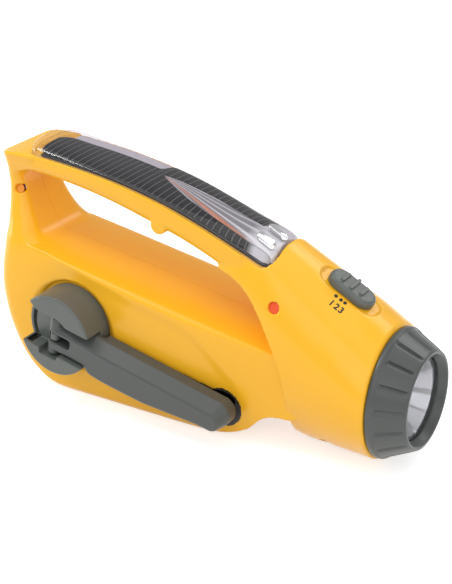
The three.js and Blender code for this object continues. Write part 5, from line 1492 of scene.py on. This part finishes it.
cell_front = at_share(cover_front_share) - panel_depth
cell_places = [*np.linspace(cell_rear, cell_rear + 5, 12), *np.linspace(cell_rear + 6, cell_front, 90)]
panel = skin("panel", [cell_ring(x) for x in cell_places])
panel = combine(panel, "DIFFERENCE", slab("strip_gap", grown(strip_plan, 0.3), 0, 2 * body_height))
strip = combine(arch("strip", 1.7, 0.7), "DIFFERENCE", arch("strip_inside", low_sheet, cover_foot - 1))
strip = combine(strip, "INTERSECT", slab("strip_plan", strip_plan, 0, 2 * body_height))
for obj, name, node, look, finish in (
    (panel, "cells", "solar_panel", cells, "cell"),
    (strip, "ribbed_strip", "solar_strip", strip_foil, "strip"),
):
    smooth_shaded(obj, 42)
    obj.name = name
    dress(obj, "housing", finish, look, node)
print("cells and strip faces:", len(panel.data.polygons), len(strip.data.polygons))

# %% [markdown]
# A thin tray closes the bed under the cells. It is dark under them, and along the far side it carries a
# painted light band: the pale background seen through the far side of the arched cover is painted on it.
# It stops short of the rear end, so the yellow bed shows there. The band could be a piece of its own. One
# tray with two colours leaves no joint to show.

# %% Tray under the cells, with its painted light band
tray_rings = []
for x in np.linspace(at_share(0.122), at_share(cover_front_share) - 1.8, 60):
    half = arch_ring(x, 1.7, 0, 2)[0][1]
    low, top = rim_at(x) + cover_foot, rim_at(x) + cover_foot + 1
    section = [(-half, low), (half, low), (half, top - 0.2), (half - 0.2, top)]
    section += [(-half + 0.2, top), (-half, top - 0.2)]
    tray_rings.append([(x, y, z) for y, z in section])
tray_piece = smooth_shaded(skin("cell_tray", tray_rings), 30)
tray_look_with_light_band = material("tray_frame_with_light_band", (40, 40, 42), 0.45, grain=0.2)
tree = tray_look_with_light_band.node_tree
# Painted light: pale along the far side, for the light background seen through the cover.
painted_light_band = mapped(tree, placed_in(tree)["Y"], 0.002, 0.004, 0.0, 1.0)
based_on(tree, blended(tree, painted_light_band, (36, 36, 38), (196, 190, 198)))
dress(tray_piece, "housing", "tray", tray_look_with_light_band, "solar_tray")
print("tray faces:", len(tray_piece.data.polygons))

# %% [markdown]
# ## The slide switch
# An oval grey button lies on the slope of the head in a shallow seat, with three ribs across it for the
# thumb. It could be one block with bevelled edges. It is skinned from its foot to its flat top through a
# round edge instead, and the ribs are small rounded bars joined on before the whole is rounded.


# %% Slide button
def slide_button():
    rows = [(0, -0.9), (0, 1.3), (0.15, 1.9), (0.5, 2.45), (1.0, 2.8), (1.6, 2.9)]
    half_long, half_wide = switch_length / 2, switch_half
    rings = []
    for inset, z in rows:
        plan = rounded_box(0, 0, half_long - inset, half_wide - inset, half_wide - inset - 1e-3, 20)
        rings.append([(x, y, z) for x, y in plan])
    button = skin("button", rings, slope_frame)
    ribs = []
    for k, reach in ((-1, 0.62), (0, 0.82), (1, 0.62)):
        bar = rounded_box(k * 4.8, 0, 0.8, switch_half * reach, 0.79, 8)
        ribs.append(slab("rib", bar, 2, 4.0, slope_frame))
    stem = slab("stem", [(-2, -1.5), (2, -1.5), (2, 1.5), (-2, 1.5)], -1.4, 0, slope_frame)
    return rounded(combine(button, "UNION", *ribs, stem), 0.16, 3)


button_piece = smooth_shaded(slide_button(), 40)
button_piece.name = "slide_button"
dress(button_piece, "switch", "grip", grey, "switch_button")
print("button faces:", len(button_piece.data.polygons))

# %% [markdown]
# ## Marks beside the switch
# Three small black dots beside the button mark its positions, each with a plain numeral. They are thin
# printed marks. They could be drawn by the shell's material. Here each is a very thin solid that lies on
# the shell where a line of sight meets it, which keeps its outline sharp.

# %% Dots and numerals
tree_of_shell = BVHTree.FromPolygons(
    [v.co[:] for v in right_shell.data.vertices], [p.vertices[:] for p in right_shell.data.polygons]
)
ink = material("printed_ink", (22, 21, 20), 0.45, grain=0.2)


def on_shell(x, y):
    spot, normal, _, _ = tree_of_shell.ray_cast(camera_place, sight_line(x, y))
    return spot, normal


def lay_flat(obj, spot, normal, along):
    """Stands a flat object on the shell, its x axis along a direction."""
    up = normal.normalized()
    first = (along - up * along.dot(up)).normalized()
    axes = Matrix((first, up.cross(first), up)).transposed()
    obj.data.transform(Matrix.Translation(spot) @ axes.to_4x4())
    return obj


reading_way = Vector((slope_frame[0, 0], 0, slope_frame[2, 0]))
marks = [(336, 296, "1", 331.5, 303), (341, 300, "2", 336.5, 307), (345, 303, "3", 341, 310.5)]
for n, (dot_x, dot_y, numeral, word_x, word_y) in enumerate(marks):
    spot, normal = on_shell(dot_x, dot_y)
    disc = [(0, -0.15), (0.82, -0.15), (0.82, 0.05), (0.75, 0.07), (0, 0.07)]
    dot = lay_flat(turned(f"dot_{n + 1}", disc, 32), spot, normal, reading_way)
    spot, normal = on_shell(word_x, word_y)
    font = bpy.data.curves.new(f"numeral_{n + 1}", "FONT")
    font.body = numeral
    font.size = 4.0 * MM
    font.offset = 0.12 * MM
    font.extrude = 0.06 * MM
    font.align_x = "CENTER"
    font.align_y = "CENTER"
    words = bpy.data.objects.new(f"numeral_{n + 1}", font)
    scene.collection.objects.link(words)
    bpy.context.view_layer.update()
    settled = words.evaluated_get(bpy.context.evaluated_depsgraph_get())
    shape = bpy.data.meshes.new_from_object(settled)
    bpy.data.objects.remove(words)
    word = bpy.data.objects.new(f"numeral_{n + 1}", shape)
    scene.collection.objects.link(word)
    lay_flat(word, spot, normal, reading_way)
    for obj in (dot, word):
        dress(obj, "housing", "tray", ink)
print("marks on the shell:", 2 * len(marks))

# %% [markdown]
# ## Inner works and small parts
# The gears, the generator, the cells and the board are right as they were packed, since their teeth and
# holes are real shapes. They keep their solids and get finishes with grain and slight wear. On gears,
# screws, pins, the knob's post and the generator's can a small bevel catches the light along the edges.

# %% Finishes by slot
looks = {
    "gear": acetal, "steel": steel, "copper": copper, "magnet": ferrite, "tray": black,
    "board": board_green, "lamp": lamp_resin, "reflector": mirror, "shell": yellow, "grip": grey,
    "clear": clear, "cell": cells, "strip": strip_foil,
}
extra_looks = {
    "battery": material("cell_wrap", (52, 120, 82), 0.38, grain=0.2),
    "capacitor": material("capacitor_sleeve", (38, 44, 66), 0.4, grain=0.2),
}
bevelled = ("gear", "pinion", "screw", "pin", "post", "can")
kept = 0
for row in frame["record"]["subparts"]:
    node = row["node"]
    look = looks.get(row["material_slot"])
    for start, other in extra_looks.items():
        if node.startswith(start):
            look = other
    obj = nodes[node]
    if look is None:
        look = black
        print("no finish for the slot", row["material_slot"], "of", node)
    obj.data.materials.clear()
    obj.data.materials.append(look)
    kept += 1
    if any(word in node for word in bevelled):
        edge = obj.modifiers.new("edge", "BEVEL")
        edge.width = 0.12 * MM
        edge.segments = 2
        edge.limit_method = "ANGLE"
        edge.angle_limit = math.radians(50)
print("nodes with a finish:", kept)

# %% [markdown]
# ## Floor and light
# The floor is a wide pale plane under the foot. It shows nearly white to the camera and in reflections, and
# still takes the soft shadow. A bent sheet of paper, as a photographer has it, would do the same. A plane
# with a little light of its own stays as even, and no bend has to be kept out of sight.

# %% Floor
reach = 4000
floor = slab("floor", [(-reach, -reach), (reach, -reach), (reach, reach), (-reach, reach)], -20, 0)
pale = material("pale_floor", (226, 226, 226), 0.75, variation=0.02, grain=0.05, grain_scale=300)
floor_glow = 0.62
tree = pale.node_tree
paths = tree.nodes.new("ShaderNodeLightPath")
mirrored = maths(tree, "MAXIMUM", paths.outputs["Is Glossy Ray"], paths.outputs["Is Transmission Ray"])
seen = maths(tree, "MAXIMUM", paths.outputs["Is Camera Ray"], mirrored)
surface = tree.nodes["Principled BSDF"]
surface.inputs["Emission Color"].default_value = (1, 1, 1, 1)
tree.links.new(maths(tree, "MULTIPLY", seen, floor_glow), surface.inputs["Emission Strength"])
surface.inputs["Specular IOR Level"].default_value = 0.1
floor.data.materials.append(pale)
print("floor laid")

# %% [markdown]
# An even white surround at half strength keeps the shaded sides light, as the white walls of a studio do.
# A picture of a room could stand in for it, and would be seen in every glossy part.

# %% World
world = bpy.data.worlds.new("studio")
scene.world = world
world.use_nodes = True
surround = world.node_tree.nodes["Background"]
surround.inputs["Strength"].default_value = 0.5
surround.inputs["Color"].default_value = (1, 1, 1, 1)
print("surround:", world.name)

# %% [markdown]
# Seven soft lamps stand round the flashlight: a large one above, one on the crank's side, small ones up
# on the left and low behind the shoulder, one before the lens, one behind and one on the far side. The
# small ones give the bright patches on the rear shoulder. One large lamp would be simpler and look flat.


# %% Lamps
def soft_lamp(name, place, aim, width, height, power):
    data = bpy.data.lights.new(name, "AREA")
    data.shape = "RECTANGLE"
    data.size = width
    data.size_y = height
    data.energy = power
    lamp = bpy.data.objects.new(name, data)
    direction = Vector(aim) - Vector(place)
    lamp.rotation_euler = direction.to_track_quat("-Z", "Y").to_euler()
    lamp.location = place
    scene.collection.objects.link(lamp)


middle = (0.04, 0, 0.05)
soft_lamp("top", (0.1, -0.15, 1.4), middle, 1.6, 1.4, 5.6)
soft_lamp("near", (0.4, -1.1, 0.75), middle, 1.2, 0.9, 4.5)
soft_lamp("left", (-0.55, -0.3, 0.95), middle, 0.3, 0.3, 2.8)
soft_lamp("shoulder", (-1.0, -0.25, 0.27), middle, 0.4, 0.4, 2.4)
soft_lamp("front", (1.15, -0.35, 0.6), middle, 0.8, 0.8, 2.0)
soft_lamp("back", (-1.1, 0.6, 0.35), middle, 0.6, 0.4, 1.2)
soft_lamp("far", (0.4, 0.85, 0.9), middle, 0.6, 0.5, 2.8)
